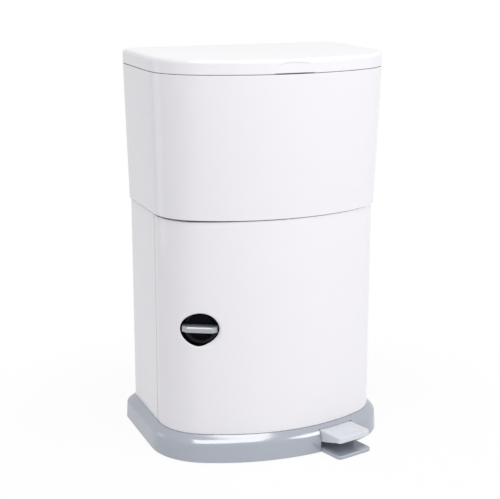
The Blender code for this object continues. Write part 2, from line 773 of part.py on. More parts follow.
def pedal_pad(material):
    """Moulded pad: rounded top edges, deeper sides towards the base, hollow below, ribbed top."""
    foot_z = PEDAL_TOP_Z - PEDAL_REAR_HEIGHT
    levels = [
        (0, foot_z),
        (0, PEDAL_TOP_Z - PEDAL_EDGE),
        (PEDAL_EDGE * (1 - math.cos(math.pi / 4)), PEDAL_TOP_Z - PEDAL_EDGE * (1 - math.sin(math.pi / 4))),
        (PEDAL_EDGE, PEDAL_TOP_Z),
    ]
    pad = rounded_front_plate(
        "pedal", PIVOT_BACK, PEDAL_LENGTH, PEDAL_WIDTH, PEDAL_CORNER, levels, material
    )
    half = PEDAL_WIDTH / 2 + OVERRUN
    front_foot = PEDAL_TOP_Z - PEDAL_FRONT_HEIGHT - PIVOT_Z
    rear_foot = foot_z - PIVOT_Z
    wedge = (
        (PIVOT_BACK - PEDAL_VISIBLE, rear_foot),
        (PIVOT_BACK - PEDAL_VISIBLE, rear_foot - OVERRUN),
        (PIVOT_BACK + OVERRUN, rear_foot - OVERRUN),
        (PIVOT_BACK + OVERRUN, front_foot),
        (PIVOT_BACK - PEDAL_CORNER, front_foot),
    )
    cut(pad, prism("pedal_wedge_tool", wedge, -half, half, at=ALONG_SIDE))
    hollow = rounded_front_plate(
        "pedal_hollow_tool",
        PIVOT_BACK - WALL,
        PEDAL_LENGTH + OVERRUN,
        PEDAL_WIDTH - 2 * WALL,
        PEDAL_CORNER - WALL,
        [(0, foot_z - OVERRUN), (0, PEDAL_TOP_Z - WALL)],
    )
    cut(pad, hollow)
    for number in range(TREAD_COUNT):
        out = PIVOT_BACK - TREAD_SETBACK - number * TREAD_PITCH
        low = PEDAL_TOP_Z - TREAD_DEPTH - PIVOT_Z
        high = PEDAL_TOP_Z + OVERRUN - PIVOT_Z
        groove = ((out - TREAD_WIDTH, low), (out, low), (out, high), (out - TREAD_WIDTH, high))
        cut(
            pad,
            prism(
                f"tread_tool_{number}", groove, -TREAD_LENGTH / 2, TREAD_LENGTH / 2, at=ALONG_SIDE
            ),
        )
    return pad


def pedal_lever(material):
    """Bent flat steel lever with a hub on the axle and a flat tail under the push rod."""
    seat_top = PEDAL_TOP_Z - WALL - SEAT - PIVOT_Z
    tail_top = TAIL_Z - PIVOT_Z
    tail_end = LEVER_TAIL + ROD_FOOT_RADIUS
    upper = (
        (-tail_end, tail_top * tail_end / LEVER_TAIL),
        (0, LEVER_THICK / 2),
        (LEVER_KNEE, LEVER_THICK),
        (LEVER_KNEE + LEVER_STEP, seat_top),
        (PIVOT_BACK - LEVER_FRONT_GAP, seat_top),
    )
    points = list(upper) + [(out, up - LEVER_THICK) for out, up in reversed(upper)]
    half = LEVER_WIDTH / 2
    lever = prism("pedal_lever", points, -half, half, material, ALONG_SIDE)
    join(lever, prism("lever_hub_tool", circle(LEVER_HUB_RADIUS), -half, half, at=ALONG_SIDE))
    reach = half + OVERRUN
    bore = circle(AXLE_RADIUS + BORE_PLAY, SMALL_STEPS)
    cut(lever, prism("lever_bore_tool", bore, -reach, reach, at=ALONG_SIDE))
    return lever


def pedal_axle(material):
    reach = LEVER_WIDTH / 2 + PLAY + EAR_THICK + OVERRUN
    return prism("pedal_axle", circle(AXLE_RADIUS, SMALL_STEPS), -reach, reach, material, ALONG_SIDE)


def push_rod(material):
    """Turned rod: a crowned foot on the lever's tail and a collar under the lift bar."""
    foot = TAIL_Z + SEAT
    collar_top = FLAP_PIN_Z - LIFT_BAR_HEIGHT / 2 - SEAT
    top = LID_PIN_Z - YOKE_DROP + ROD_TOP_IN_YOKE
    profile = (
        (ROD_FOOT_RADIUS * ROD_FOOT_FLAT_SHARE, foot),
        (ROD_FOOT_RADIUS, foot + ROD_FOOT_CROWN),
        (ROD_FOOT_RADIUS, foot + ROD_FOOT_HEIGHT),
        (ROD_RADIUS, foot + ROD_FOOT_HEIGHT + WELD),
        (ROD_RADIUS, collar_top - ROD_COLLAR_HEIGHT - WELD),
        (ROD_COLLAR_RADIUS, collar_top - ROD_COLLAR_HEIGHT),
        (ROD_COLLAR_RADIUS, collar_top),
        (ROD_RADIUS, collar_top),
        (ROD_RADIUS, top),
    )
    rings = [(circle(radius, SMALL_STEPS, (ROD_X, ROD_Y)), z) for radius, z in profile]
    return loft("push_rod", rings, material)


def guide(name, z, wall_y, material=None):
    """A bracket on the rear wall with a bore for the rod."""
    block = box(
        name,
        (ROD_X - GUIDE_HALF_WIDTH, ROD_Y - ROD_RADIUS - GUIDE_FRONT_WALL, z - GUIDE_HEIGHT / 2),
        (ROD_X + GUIDE_HALF_WIDTH, wall_y, z + GUIDE_HEIGHT / 2),
        material,
    )
    return block


def guide_bore(name, z):
    half = GUIDE_HEIGHT / 2 + OVERRUN
    return rod_along_z(name, ROD_RADIUS + BORE_PLAY, z - half, z + half, ROD_X, ROD_Y)


def rear_shell(material):
    """Sides and back of the lower body in one moulding, with returns beside the door."""
    edge_y = SEAM_Y + SEAM_GAP
    half = BODY_WIDTH / 2
    inner = inset(BODY, WALL)
    outer_points = rear_path(BODY, edge_y)
    inner_points = list(reversed(rear_path(inner, edge_y + WALL)))
    returned = half - SHELL_RETURN
    points = outer_points + [(-returned, edge_y), (-returned, edge_y + WALL)]
    points += inner_points + [(returned, edge_y + WALL), (returned, edge_y)]
    shell = prism("rear_shell", points, DECK_Z + SEAT, BODY_TOP_Z, material)
    for number, share in enumerate(LOWER_GUIDE_SHARES):
        z = DECK_Z + (BODY_TOP_Z - DECK_Z) * share
        join(shell, guide(f"lower_guide_tool_{number}", z, BODY_BACK - WALL + WELD))
        cut(shell, guide_bore(f"lower_guide_bore_{number}", z))
    return shell


def rod_cover(material):
    """Channel that keeps the bag off the push rod."""
    back = BODY_BACK - WALL - SEAT
    front = back - COVER_DEPTH
    half = COVER_HALF_WIDTH
    points = (
        (ROD_X - half, front),
        (ROD_X + half, front),
        (ROD_X + half, back),
        (ROD_X + half - COVER_THICK, back),
        (ROD_X + half - COVER_THICK, front + COVER_THICK),
        (ROD_X - half + COVER_THICK, front + COVER_THICK),
        (ROD_X - half + COVER_THICK, back),
        (ROD_X - half, back),
    )
    low = DECK_Z + LOCATING_RIM_HEIGHT + SEAT
    return prism("rod_cover", points, low, UPPER_FOOT_Z - COVER_TOP_GAP, material)


def upper_shell(material):
    """Flared upper tube: a flange over the lower body, a shelf for the collar, hinge bosses."""
    height = RIM_Z - UPPER_FOOT_Z

    def wall_plan(z):
        return between(UPPER, RIM, (z - UPPER_FOOT_Z) / height)

    flange_top = UPPER_FOOT_Z + PLATE_THICK
    shelf_foot = SHELF_Z - PLATE_THICK
    haunch = shelf_foot - SHELF_HAUNCH
    section = (
        (0, UPPER_FOOT_Z),
        (0, RIM_Z),
        (WALL, RIM_Z),
        (WALL, SHELF_Z),
        (WALL + SHELF_WIDTH, SHELF_Z),
        (WALL + SHELF_WIDTH, shelf_foot),
        (WALL, haunch),
        (WALL, flange_top),
        (WALL + FLANGE_WIDTH, flange_top),
        (WALL + FLANGE_WIDTH, UPPER_FOOT_Z),
    )
    rings = [(outline(inset(wall_plan(z), depth)), z) for depth, z in section]
    shell = loft("upper_shell", rings, material, ring=True)
    for number, share in enumerate(UPPER_GUIDE_SHARES):
        z = UPPER_FOOT_Z + height * share
        join(shell, guide(f"upper_guide_tool_{number}", z, UPPER_BACK - WALL + WELD))
        cut(shell, guide_bore(f"upper_guide_bore_{number}", z))
    for side in (-1, 1):
        for number, inner_x in enumerate((KNUCKLE_INNER_X, KNUCKLE_OUTER_X - KNUCKLE_LENGTH)):
            ends = sorted((side * inner_x, side * (inner_x + KNUCKLE_LENGTH)))
            join(shell, *shell_knuckle(f"{side}_{number}", *ends))
        ends = sorted((side * (KNUCKLE_INNER_X - OVERRUN), side * (KNUCKLE_OUTER_X + OVERRUN)))
        cut(shell, hinge_bore(f"shell_hinge_bore_{side}", *ends))
    crank_room = box(
        "crank_room_tool",
        (ROD_X - YOKE_HALF_WIDTH - OVERRUN, YOKE_FRONT_Y - OVERRUN, haunch - OVERRUN),
        (LID_CRANK_X + LID_CRANK_THICK + OVERRUN, RIM_BACK - WALL + WELD / 2, SHELF_Z + OVERRUN),
    )
    rod_room = rod_along_z(
        "flange_rod_tool",
        DECK_HOLE_RADIUS,
        UPPER_FOOT_Z - OVERRUN,
        flange_top + OVERRUN,
        ROD_X,
        ROD_Y,
    )
    pin_room = rod_along_z(
        "upper_door_socket_tool",
        DOOR_PIN_RADIUS + BORE_PLAY,
        UPPER_FOOT_Z - OVERRUN,
        flange_top + OVERRUN,
        DOOR_AXIS_X,
        DOOR_AXIS_Y,
    )
    return cut(shell, crank_room, rod_room, pin_room)


def shell_knuckle(name, low, high):
    """A hinge barrel on a web down the shell's back."""
    barrel = rod_along_x(f"shell_barrel_{name}", KNUCKLE_RADIUS, low, high, HINGE_Y, HINGE_Z)
    wall_y = RIM_BACK - WELD
    edge = KNUCKLE_RADIUS - SEAT
    points = (
        (wall_y, HINGE_Z - KNUCKLE_WEB_DROP),
        (HINGE_Y + edge, HINGE_Z - KNUCKLE_RADIUS),
        (HINGE_Y + edge, HINGE_Z),
        (HINGE_Y - edge, HINGE_Z),
        (wall_y, RIM_Z - SEAT),
    )
    return prism(f"shell_web_{name}", points, low, high, at=ALONG_X), barrel


def hinge_bore(name, low, high):
    return rod_along_x(name, HINGE_PIN_RADIUS + BORE_PLAY, low, high, HINGE_Y, HINGE_Z)


def hinge_pin(name, side, material):
    near = side * (KNUCKLE_INNER_X - HINGE_PIN_PROUD)
    far = side * (KNUCKLE_OUTER_X + HINGE_PIN_PROUD)
    low, high = sorted((near, far))
    return rod_along_x(name, HINGE_PIN_RADIUS, low, high, HINGE_Y, HINGE_Z, material)


def throat(outset, z):
    """Rounded rectangle round the throat, which widens towards the top."""
    share = (z - THROAT_FOOT_Z) / (COLLAR_TOP_Z - THROAT_FOOT_Z)
    grow = 2 * (outset + THROAT_FLARE * share)
    corner = THROAT_CORNER + outset
    return rounded(THROAT_WIDTH + grow, THROAT_DEPTH + grow, corner, THROAT_Y)


def collar(material):
    """Top plate, throat funnel, cassette ledge and the ears that hold the flaps."""
    plate_plan = inset(RIM, WALL + COLLAR_GAP)
    plate_rings = [(outline(plate_plan), COLLAR_Z), (outline(plate_plan), COLLAR_TOP_Z)]
    body = loft("collar", plate_rings, material)
    funnel_rings = [(throat(WALL, z), z) for z in (THROAT_FOOT_Z, COLLAR_Z + WELD)]
    ledge_outset = WALL + CASSETTE_LEDGE_WIDTH
    ledge_rings = [(throat(ledge_outset, z), z) for z in (CASSETTE_LEDGE_Z, CASSETTE_LEDGE_Z + PLATE_THICK)]
    join(body, loft("funnel_tool", funnel_rings), loft("cassette_ledge_tool", ledge_rings))
    ear_low = FLAP_Z - EAR_UNDER_PIVOT
    for side in (-1, 1):
        near = side * (THROAT_WIDTH / 2 + EAR_SETBACK)
        for end, pivot_y in flap_pivots():
            low_x, high_x = sorted((near, near + side * WALL))
            inward = -end * FLAP_PIVOT_OUT
            name = f"flap_ear_tool_{side}_{end}"
            low = (low_x, pivot_y - EAR_HALF_LENGTH + inward, ear_low)
            high = (high_x, pivot_y + EAR_HALF_LENGTH + inward, CASSETTE_LEDGE_Z + WELD)
            join(body, box(name, low, high))
    mouth = [(throat(0, z), z) for z in (THROAT_FOOT_Z - OVERRUN, COLLAR_TOP_Z + OVERRUN)]
    cut(body, loft("throat_tool", mouth))
    reach = THROAT_WIDTH / 2 + WALL + OVERRUN
    for end, pivot_y in flap_pivots():
        radius = TRUNNION_RADIUS + BORE_PLAY
        cut(body, rod_along_x(f"ear_bore_tool_{end}", radius, -reach, reach, pivot_y, FLAP_Z))
    rear_room = box(
        "collar_rear_tool",
        (ROD_X - YOKE_HALF_WIDTH - OVERRUN, YOKE_FRONT_Y - OVERRUN, COLLAR_Z - OVERRUN),
        (
            LID_CRANK_X + LID_CRANK_THICK + OVERRUN,
            plate_plan.back + OVERRUN,
            COLLAR_TOP_Z + OVERRUN,
        ),
    )
    return cut(body, rear_room)


def liner_cassette(material):
    """Open-topped channel that stores the folded liner film round the throat."""
    inner = WALL + CASSETTE_GAP + THROAT_FLARE
    outer = inner + CASSETTE_WIDTH
    foot = CASSETTE_LEDGE_Z + PLATE_THICK + SEAT
    top = foot + CASSETTE_HEIGHT
    section = (
        (outer, foot),
        (outer, top),
        (outer - CASSETTE_THICK, top),
        (outer - CASSETTE_THICK, foot + CASSETTE_THICK),
        (inner + CASSETTE_THICK, foot + CASSETTE_THICK),
        (inner + CASSETTE_THICK, top),
        (inner, top),
        (inner, foot),
    )
    rings = [(throat(outset, THROAT_FOOT_Z), z) for outset, z in section]
    return loft("liner_cassette", rings, material, ring=True)


def flap_pivots():
    """Front flap first: the end of the throat that it hinges at, and its axis."""
    reach = THROAT_DEPTH / 2 + FLAP_PIVOT_OUT
    return ((-1, THROAT_Y - reach), (1, THROAT_Y + reach))


def flap(name, end, pivot_y, material):
    """A flap with its hinge barrel and two ribs below."""
    half = THROAT_WIDTH / 2 - FLAP_SIDE_GAP
    tip = THROAT_Y + end * (FLAP_MEET_GAP / 2 + FLAP_SEAL_WIDTH * SEAL_OVERHANG_SHARE)
    low_y, high_y = sorted((pivot_y, tip))
    plate = box(
        name, (-half, low_y, FLAP_Z - FLAP_THICK / 2), (half, high_y, FLAP_Z + FLAP_THICK / 2), material
    )
    join(plate, rod_along_x(f"{name}_barrel_tool", FLAP_BARREL, -half, half, pivot_y, FLAP_Z))
    far = THROAT_WIDTH / 2 + WALL + CRANK_GAP + CRANK_THICK
    near = -(THROAT_WIDTH / 2 + WALL)
    join(plate, rod_along_x(f"{name}_pin_tool", TRUNNION_RADIUS, near, far, pivot_y, FLAP_Z))
    rib_top = FLAP_Z - FLAP_THICK / 2 + WELD
    for side in (-1, 1):
        middle = side * half / 2
        rib_low, rib_high = sorted((pivot_y, tip + end * FLAP_SEAL_WIDTH))
        rib = box(
            f"{name}_rib_tool_{side}",
            (middle - FLAP_RIB / 2, rib_low, rib_top - FLAP_RIB_DROP),
            (middle + FLAP_RIB / 2, rib_high, rib_top),
        )
        join(plate, rib)
    return plate


def flap_seal(name, end, material):
    """Rubber lip on top of the flap's free edge."""
    half = THROAT_WIDTH / 2 - FLAP_SIDE_GAP
    low = FLAP_Z + FLAP_THICK / 2 + SEAT
    ends = sorted((THROAT_Y + end * FLAP_MEET_GAP / 2, THROAT_Y + end * FLAP_SEAL_WIDTH))
    return box(name, (-half, ends[0], low), (half, ends[1], low + FLAP_SEAL_THICK), material)


def flap_crank(name, end, pivot_y, material):
    """Crank on the flap's pin, with its own pin in the lift bar's slot."""
    low = THROAT_WIDTH / 2 + WALL + CRANK_GAP
    high = low + CRANK_THICK
    pin_y = pivot_y + end * FLAP_PIN_OUT
    arm = arm_outline(
        (pivot_y, FLAP_Z), CRANK_HUB_RADIUS, (pin_y, FLAP_PIN_Z), CRANK_EYE_RADIUS
    )
    crank = prism(name, arm, low, high, material, ALONG_X)
    bar_far = high + LIFT_BAR_GAP + LIFT_BAR_THICK + OVERRUN
    join(crank, rod_along_x(f"{name}_pin_tool", CRANK_PIN_RADIUS, high - WELD, bar_far, pin_y, FLAP_PIN_Z))
    bore = TRUNNION_RADIUS + SEAT
    cut(
        crank,
        rod_along_x(f"{name}_bore_tool", bore, low - OVERRUN, high + OVERRUN, pivot_y, FLAP_Z),
    )
    return crank


def arm_outline(first, first_radius, second, second_radius):
    """Two round ends and the straight sides between them, anticlockwise."""
    dx = second[0] - first[0]
    dy = second[1] - first[1]
    aim = math.atan2(dy, dx)
    lean = math.acos((first_radius - second_radius) / math.hypot(dx, dy))
    count = SMALL_STEPS // 2
    points = []
    for a in steps(aim - lean, aim + lean, count):
        points.append((second[0] + second_radius * math.cos(a), second[1] + second_radius * math.sin(a)))
    for a in steps(aim + lean, aim + 2 * math.pi - lean, count):
        points.append((first[0] + first_radius * math.cos(a), first[1] + first_radius * math.sin(a)))
    return points


def lift_bar(material):
    """Bent flat bar from the rod, along the back and the right side, with a slot per flap crank."""
    side_x = THROAT_WIDTH / 2 + WALL + CRANK_GAP + CRANK_THICK + LIFT_BAR_GAP
    far_x = side_x + LIFT_BAR_THICK
    back_y = ROD_Y - LIFT_HUB_RADIUS + LIFT_BAR_THICK
    pivots = dict(flap_pivots())
    front_y = pivots[-1] - FLAP_CRANK - LIFT_BAR_END
    points = (
        (far_x, front_y),
        (far_x, back_y),
        (ROD_X, back_y),
        (ROD_X, back_y - LIFT_BAR_THICK),
        (side_x, back_y - LIFT_BAR_THICK),
        (side_x, front_y),
    )
    low = FLAP_PIN_Z - LIFT_BAR_HEIGHT / 2
    high = low + LIFT_BAR_HEIGHT
    bar = prism("lift_bar", points, low, high, material)
    join(bar, rod_along_z("lift_hub_tool", LIFT_HUB_RADIUS, low, high, ROD_X, ROD_Y))
    hub_bore = ROD_RADIUS + SEAT
    cut(bar, rod_along_z("lift_bore_tool", hub_bore, low - OVERRUN, high + OVERRUN, ROD_X, ROD_Y))
    for end, pivot_y in pivots.items():
        reach = CRANK_PIN_RADIUS + PLAY
        rise = CRANK_PIN_RADIUS + SLOT_RISE_PLAY
        ends = sorted((pivot_y + end * (FLAP_PIN_OUT - reach), pivot_y + end * (FLAP_CRANK + reach)))
        slot = box(
            f"lift_slot_tool_{end}",
            (side_x - OVERRUN, ends[0], FLAP_PIN_Z - rise),
            (far_x + OVERRUN, ends[1], FLAP_PIN_Z + rise),
        )
        cut(bar, slot)
    return bar


def rod_yoke(material):
    """Slotted head on the rod for the lid crank's pin."""
    foot = LID_PIN_Z - YOKE_DROP
    rise = CRANK_PIN_RADIUS + SLOT_RISE_PLAY
    yoke = box(
        "rod_yoke",
        (ROD_X - YOKE_HALF_WIDTH, YOKE_FRONT_Y, foot),
        (ROD_X + YOKE_HALF_WIDTH, YOKE_BACK_Y, LID_PIN_Z + rise + YOKE_TOP_WALL),
        material,
    )
    reach = YOKE_HALF_WIDTH + OVERRUN
    slot = box(
        "yoke_slot_tool",
        (ROD_X - reach, YOKE_FRONT_Y + YOKE_WALL, LID_PIN_Z - rise),
        (ROD_X + reach, YOKE_BACK_Y - YOKE_WALL, LID_PIN_Z + rise),
    )
    rod_top = foot + ROD_TOP_IN_YOKE + SEAT
    bore = rod_along_z(
        "yoke_bore_tool", ROD_RADIUS + SEAT, foot - OVERRUN, rod_top, ROD_X, ROD_Y
    )
    return cut(yoke, slot, bore)


def lid_shell(material):
    """Hollow lid with a rolled top edge, a finger notch and hinge knuckles."""
    radius = LID_EDGE_RADIUS
    rings = []
    for a in steps(math.pi / 2, 0, LID_EDGE_STEPS):
        depth = radius * (1 - math.cos(a))
        rings.append((outline(inset(RIM, depth)), TOTAL_HEIGHT - radius * (1 - math.sin(a))))
    inner_radius = radius - WALL
    roof = TOTAL_HEIGHT - WALL
    rings += [(outline(RIM), LID_FOOT_Z), (outline(inset(RIM, WALL)), LID_FOOT_Z)]
    for a in steps(0, math.pi / 2, LID_EDGE_STEPS // 2):
        depth = WALL + inner_radius * (1 - math.cos(a))
        rings.append((outline(inset(RIM, depth)), roof - inner_radius * (1 - math.sin(a))))
    lid = loft("lid_shell", rings, material)
    half = NOTCH_WIDTH / 2 + NOTCH_MARGIN
    backing = box(
        "notch_backing_tool",
        (-half, -RIM_FRONT + WALL - SEAT, LID_FOOT_Z),
        (half, -RIM_FRONT + NOTCH_DEPTH + NOTCH_BACKING, roof + WELD),
    )
    join(lid, backing)
    cut(lid, notch_tool())
    for side in (-1, 1):
        low = side * (KNUCKLE_INNER_X + KNUCKLE_LENGTH + KNUCKLE_GAP)
        high = side * (KNUCKLE_OUTER_X - KNUCKLE_LENGTH - KNUCKLE_GAP)
        join(lid, *lid_knuckle(f"{side}", *sorted((low, high))))
        ends = sorted((low - side * OVERRUN, high + side * OVERRUN))
        cut(lid, hinge_bore(f"lid_hinge_bore_{side}", *ends))
    return lid


def notch_tool():
    """Arched recess that a finger hooks into: a low half ellipse, open below."""
    points = [(LID_FOOT_Z - OVERRUN, -NOTCH_WIDTH / 2)]
    for a in steps(math.pi, 0, ROUND_STEPS // 2):
        x = NOTCH_WIDTH / 2 * math.cos(a)
        points.append((LID_FOOT_Z + NOTCH_HEIGHT * math.sin(a) ** NOTCH_FULLNESS, x))
    points.append((LID_FOOT_Z - OVERRUN, NOTCH_WIDTH / 2))
    front = -RIM_FRONT - OVERRUN
    return prism("notch_tool", points, front, -RIM_FRONT + NOTCH_DEPTH, at=ALONG_Y)


def lid_knuckle(name, low, high):
    barrel = rod_along_x(f"lid_barrel_{name}", KNUCKLE_RADIUS, low, high, HINGE_Y, HINGE_Z)
    wall_y = RIM_BACK - WELD
    edge = KNUCKLE_RADIUS - SEAT
    points = (
        (wall_y, HINGE_Z + SEAT),
        (HINGE_Y + edge, HINGE_Z + SEAT),
        (HINGE_Y + edge / 2, HINGE_Z + KNUCKLE_RADIUS),
        (wall_y, HINGE_Z + KNUCKLE_WEB_RISE),
    )
    return prism(f"lid_web_{name}", points, low, high, at=ALONG_X), barrel


def lid_lining(material):
    """Flat closing plate inside the lid."""
    plan = inset(RIM, WALL + LINING_GAP)
    foot = LID_FOOT_Z + LINING_RISE
    lining = loft("lid_lining", [(outline(plan), foot), (outline(plan), foot + LINING_THICK)], material)
    half = NOTCH_WIDTH / 2 + NOTCH_MARGIN + LINING_GAP
    front = -RIM_FRONT + NOTCH_DEPTH + NOTCH_BACKING + LINING_GAP
    room = box(
        "lining_notch_tool",
        (-half, -RIM_FRONT, foot - OVERRUN),
        (half, front, foot + LINING_THICK + OVERRUN),
    )
    return cut(lining, room)


def lid_gasket(material):
    """Grey seal under the lid's edge."""
    outer = inset(RIM, GASKET_INSET)
    inner = inset(outer, GASKET_WIDTH)
    top = GASKET_Z + GASKET_HEIGHT
    rings = [
        (outline(outer), GASKET_Z),
        (outline(outer), top),
        (outline(inner), top),
        (outline(inner), GASKET_Z),
    ]
    return loft("lid_gasket", rings, material, ring=True)


def lid_crank(material):
    """Steel bracket under the lining, with an arm down to the pin in the yoke."""
    low_x = LID_CRANK_X
    high_x = low_x + LID_CRANK_THICK
    foot_top = LID_FOOT_Z + LINING_RISE - SEAT
    foot_low = foot_top - LID_CRANK_FOOT_THICK
    half = LID_CRANK_WIDTH / 2
    arm = [(LID_PIN_Y + half, foot_low + WELD), (LID_PIN_Y - half, foot_low + WELD)]
    for a in steps(math.pi, 2 * math.pi, SMALL_STEPS // 2):
        arm.append((LID_PIN_Y + half * math.cos(a), LID_PIN_Z + half * math.sin(a)))
    crank = prism("lid_crank", arm, low_x, high_x, material, ALONG_X)
    foot = box(
        "lid_crank_foot_tool",
        (low_x, HINGE_Y - LID_CRANK_FOOT_FRONT, foot_low),
        (low_x + LID_CRANK_FOOT, HINGE_Y - LID_CRANK_FOOT_BACK, foot_top),
    )
    pin = rod_along_x(
        "lid_crank_pin_tool",
        CRANK_PIN_RADIUS,
        ROD_X - YOKE_HALF_WIDTH - WELD,
        low_x + WELD,
        LID_PIN_Y,
        LID_PIN_Z,
    )
    return join(crank, foot, pin)


def door_panel(material):
    """Wrap-round front door: thin panel, rails inside, hinge bead, lip round the knob recess."""
    half = BODY_WIDTH / 2
    inner = inset(BODY, WALL)
    outer_points = front_path(BODY, SEAM_Y, DOOR_AXIS_Y)
    inner_points = list(reversed(front_path(inner, SEAM_Y, DOOR_AXIS_Y)))
    door = prism("door_panel", outer_points + inner_points, DOOR_FOOT_Z, DOOR_TOP_Z, material)
    rail_outer = inset(BODY, WELD)
    rail_inner = inset(BODY, WALL + DOOR_RAIL_WIDTH)
    rail_ends = (SEAM_Y - WELD, DOOR_AXIS_Y - WELD)
    rail_points = front_path(rail_outer, *rail_ends)
    rail_points += list(reversed(front_path(rail_inner, *rail_ends)))
    for name, z in (
        ("foot", DOOR_FOOT_Z + DOOR_RAIL_SETBACK),
        ("top", DOOR_TOP_Z - DOOR_RAIL_SETBACK - RAIL_THICK),
    ):
        join(door, prism(f"door_rail_{name}_tool", rail_points, z, z + RAIL_THICK))
    returned = box(
        "door_return_tool",
        (-half + WELD, SEAM_Y - WALL, DOOR_FOOT_Z),
        (-half + WALL + DOOR_RETURN, SEAM_Y, DOOR_TOP_Z),
    )
    bead = rod_along_z(
        "door_bead_tool", BEAD_RADIUS, DOOR_FOOT_Z, DOOR_TOP_Z, DOOR_AXIS_X, DOOR_AXIS_Y, count=ROUND_STEPS
    )
    join(door, returned, bead)
    lip = rod_along_y("knob_lip_tool", RECESS_RADIUS + LIP_THICK, -BODY_FRONT, SEAM_Y, KNOB_X, KNOB_Z)
    keep(lip, shifted_body("lip_front_tool", WELD, 0))
    cut(lip, shifted_body("lip_back_tool", 0, LIP_DEPTH))
    join(door, lip)
    cut(door, rod_along_y("knob_bore_tool", RECESS_RADIUS, -BODY_FRONT - OVERRUN, SEAM_Y, KNOB_X, KNOB_Z))
    for name, low in (
        ("foot", DOOR_FOOT_Z - OVERRUN),
        ("top", DOOR_TOP_Z - DOOR_PIN_LENGTH - SEAT),
    ):
        high = low + DOOR_PIN_LENGTH + OVERRUN + SEAT
        radius = DOOR_PIN_RADIUS + SEAT
        cut(door, rod_along_z(f"door_pin_bore_{name}", radius, low, high, DOOR_AXIS_X, DOOR_AXIS_Y))
    return door


def shifted_body(name, depth, back):
    """The body's plan as a block round the knob's height, moved back by a distance."""
    reach = RECESS_RADIUS + LIP_THICK + OVERRUN
    points = [(x, y + back) for x, y in outline(inset(BODY, depth))]
    return prism(name, points, KNOB_Z - reach, KNOB_Z + reach)


def door_pin(name, at_top, material):
    """Steel pin in the hinge bead."""
    if at_top:
        low = DOOR_TOP_Z - DOOR_PIN_LENGTH
        high = UPPER_FOOT_Z + DOOR_PIN_PROUD
    else:
        low = DECK_Z - DOOR_PIN_PROUD
        high = DOOR_FOOT_Z + DOOR_PIN_LENGTH - SEAT
    return rod_along_z(name, DOOR_PIN_RADIUS, low, high, DOOR_AXIS_X, DOOR_AXIS_Y, material)


def latch_cup(material):
    """Dark cup behind the door that the fingers reach into, square to the knob's axis."""
    cup = rod_along_knob("latch_cup", CUP_RADIUS + CUP_WALL, -CUP_RADIUS, CUP_BACK, material)
    keep(cup, shifted_body("cup_front_tool", 0, LIP_DEPTH + SEAT))
    hollow = rod_along_knob("cup_hollow_tool", CUP_RADIUS, -CUP_RADIUS - OVERRUN, CUP_FLOOR)
    hole = rod_along_knob(
        "cup_hole_tool", SPINDLE_RADIUS + BORE_PLAY, CUP_FLOOR - OVERRUN, CUP_BACK + OVERRUN
    )
    return cut(cup, hollow, hole)


def knob(material):
    """Turn knob: a disc, a bar with sloping ends and a spindle through the cup."""
    disc_back = CUP_FLOOR - SEAT
    disc_front = disc_back - KNOB_DISC_THICK
    piece = rod_along_knob("knob", KNOB_DISC_RADIUS, disc_front, disc_back, material)
    half = KNOB_BAR_LENGTH / 2
    slope = KNOB_BAR_SETBACK + KNOB_BAR_CHAMFER
    points = (
        (-half, disc_front + WELD),
        (-half, slope),
        (-half + KNOB_BAR_CHAMFER, KNOB_BAR_SETBACK),
        (half - KNOB_BAR_CHAMFER, KNOB_BAR_SETBACK),
        (half, slope),
        (half, disc_front + WELD),
    )
    low = -KNOB_BAR_WIDTH / 2
    join(piece, prism("knob_bar_tool", points, low, low + KNOB_BAR_WIDTH, at=ACROSS_KNOB))
    spindle = rod_along_knob(
        "spindle_tool", SPINDLE_RADIUS, disc_back - WELD, SPINDLE_END, count=SMALL_STEPS
    )
    screw_hole = rod_along_knob(
        "spindle_hole_tool",
        LATCH_SCREW_RADIUS + SEAT,
        SPINDLE_END - LATCH_SCREW_DEPTH - SEAT,
        SPINDLE_END + OVERRUN,
        count=SMALL_STEPS,
    )
    join(piece, spindle)
    return cut(piece, screw_hole)


def latch_tongue(material):
    """Plate on the spindle's end. It stands upright when the latch is open."""
    half = TONGUE_WIDTH / 2
    points = [(TONGUE_LENGTH, half), (TONGUE_LENGTH, -half)]
    for a in steps(math.pi, 2 * math.pi, SMALL_STEPS // 2):
        points.append((half * math.sin(a), half * math.cos(a)))
    back = TONGUE_FRONT + TONGUE_THICK
    tongue = prism("latch_tongue", points, TONGUE_FRONT, back, material, ALONG_KNOB)
    hole = rod_along_knob(
        "tongue_hole_tool",
        LATCH_SCREW_RADIUS + SEAT,
        TONGUE_FRONT - OVERRUN,
        back + OVERRUN,
        count=SMALL_STEPS,
    )
    return cut(tongue, hole)


def latch_screw(material):
    low = TONGUE_FRONT + TONGUE_THICK + SEAT
    head = rod_along_knob(
        "latch_screw", LATCH_SCREW_HEAD, low, low + LATCH_SCREW_HEAD_THICK, material, SMALL_STEPS
    )
    shank = rod_along_knob(
        "latch_shank_tool",
        LATCH_SCREW_RADIUS,
        TONGUE_FRONT - LATCH_SCREW_DEPTH,
        low + WELD,
        count=SMALL_STEPS,
    )
    return join(head, shank)


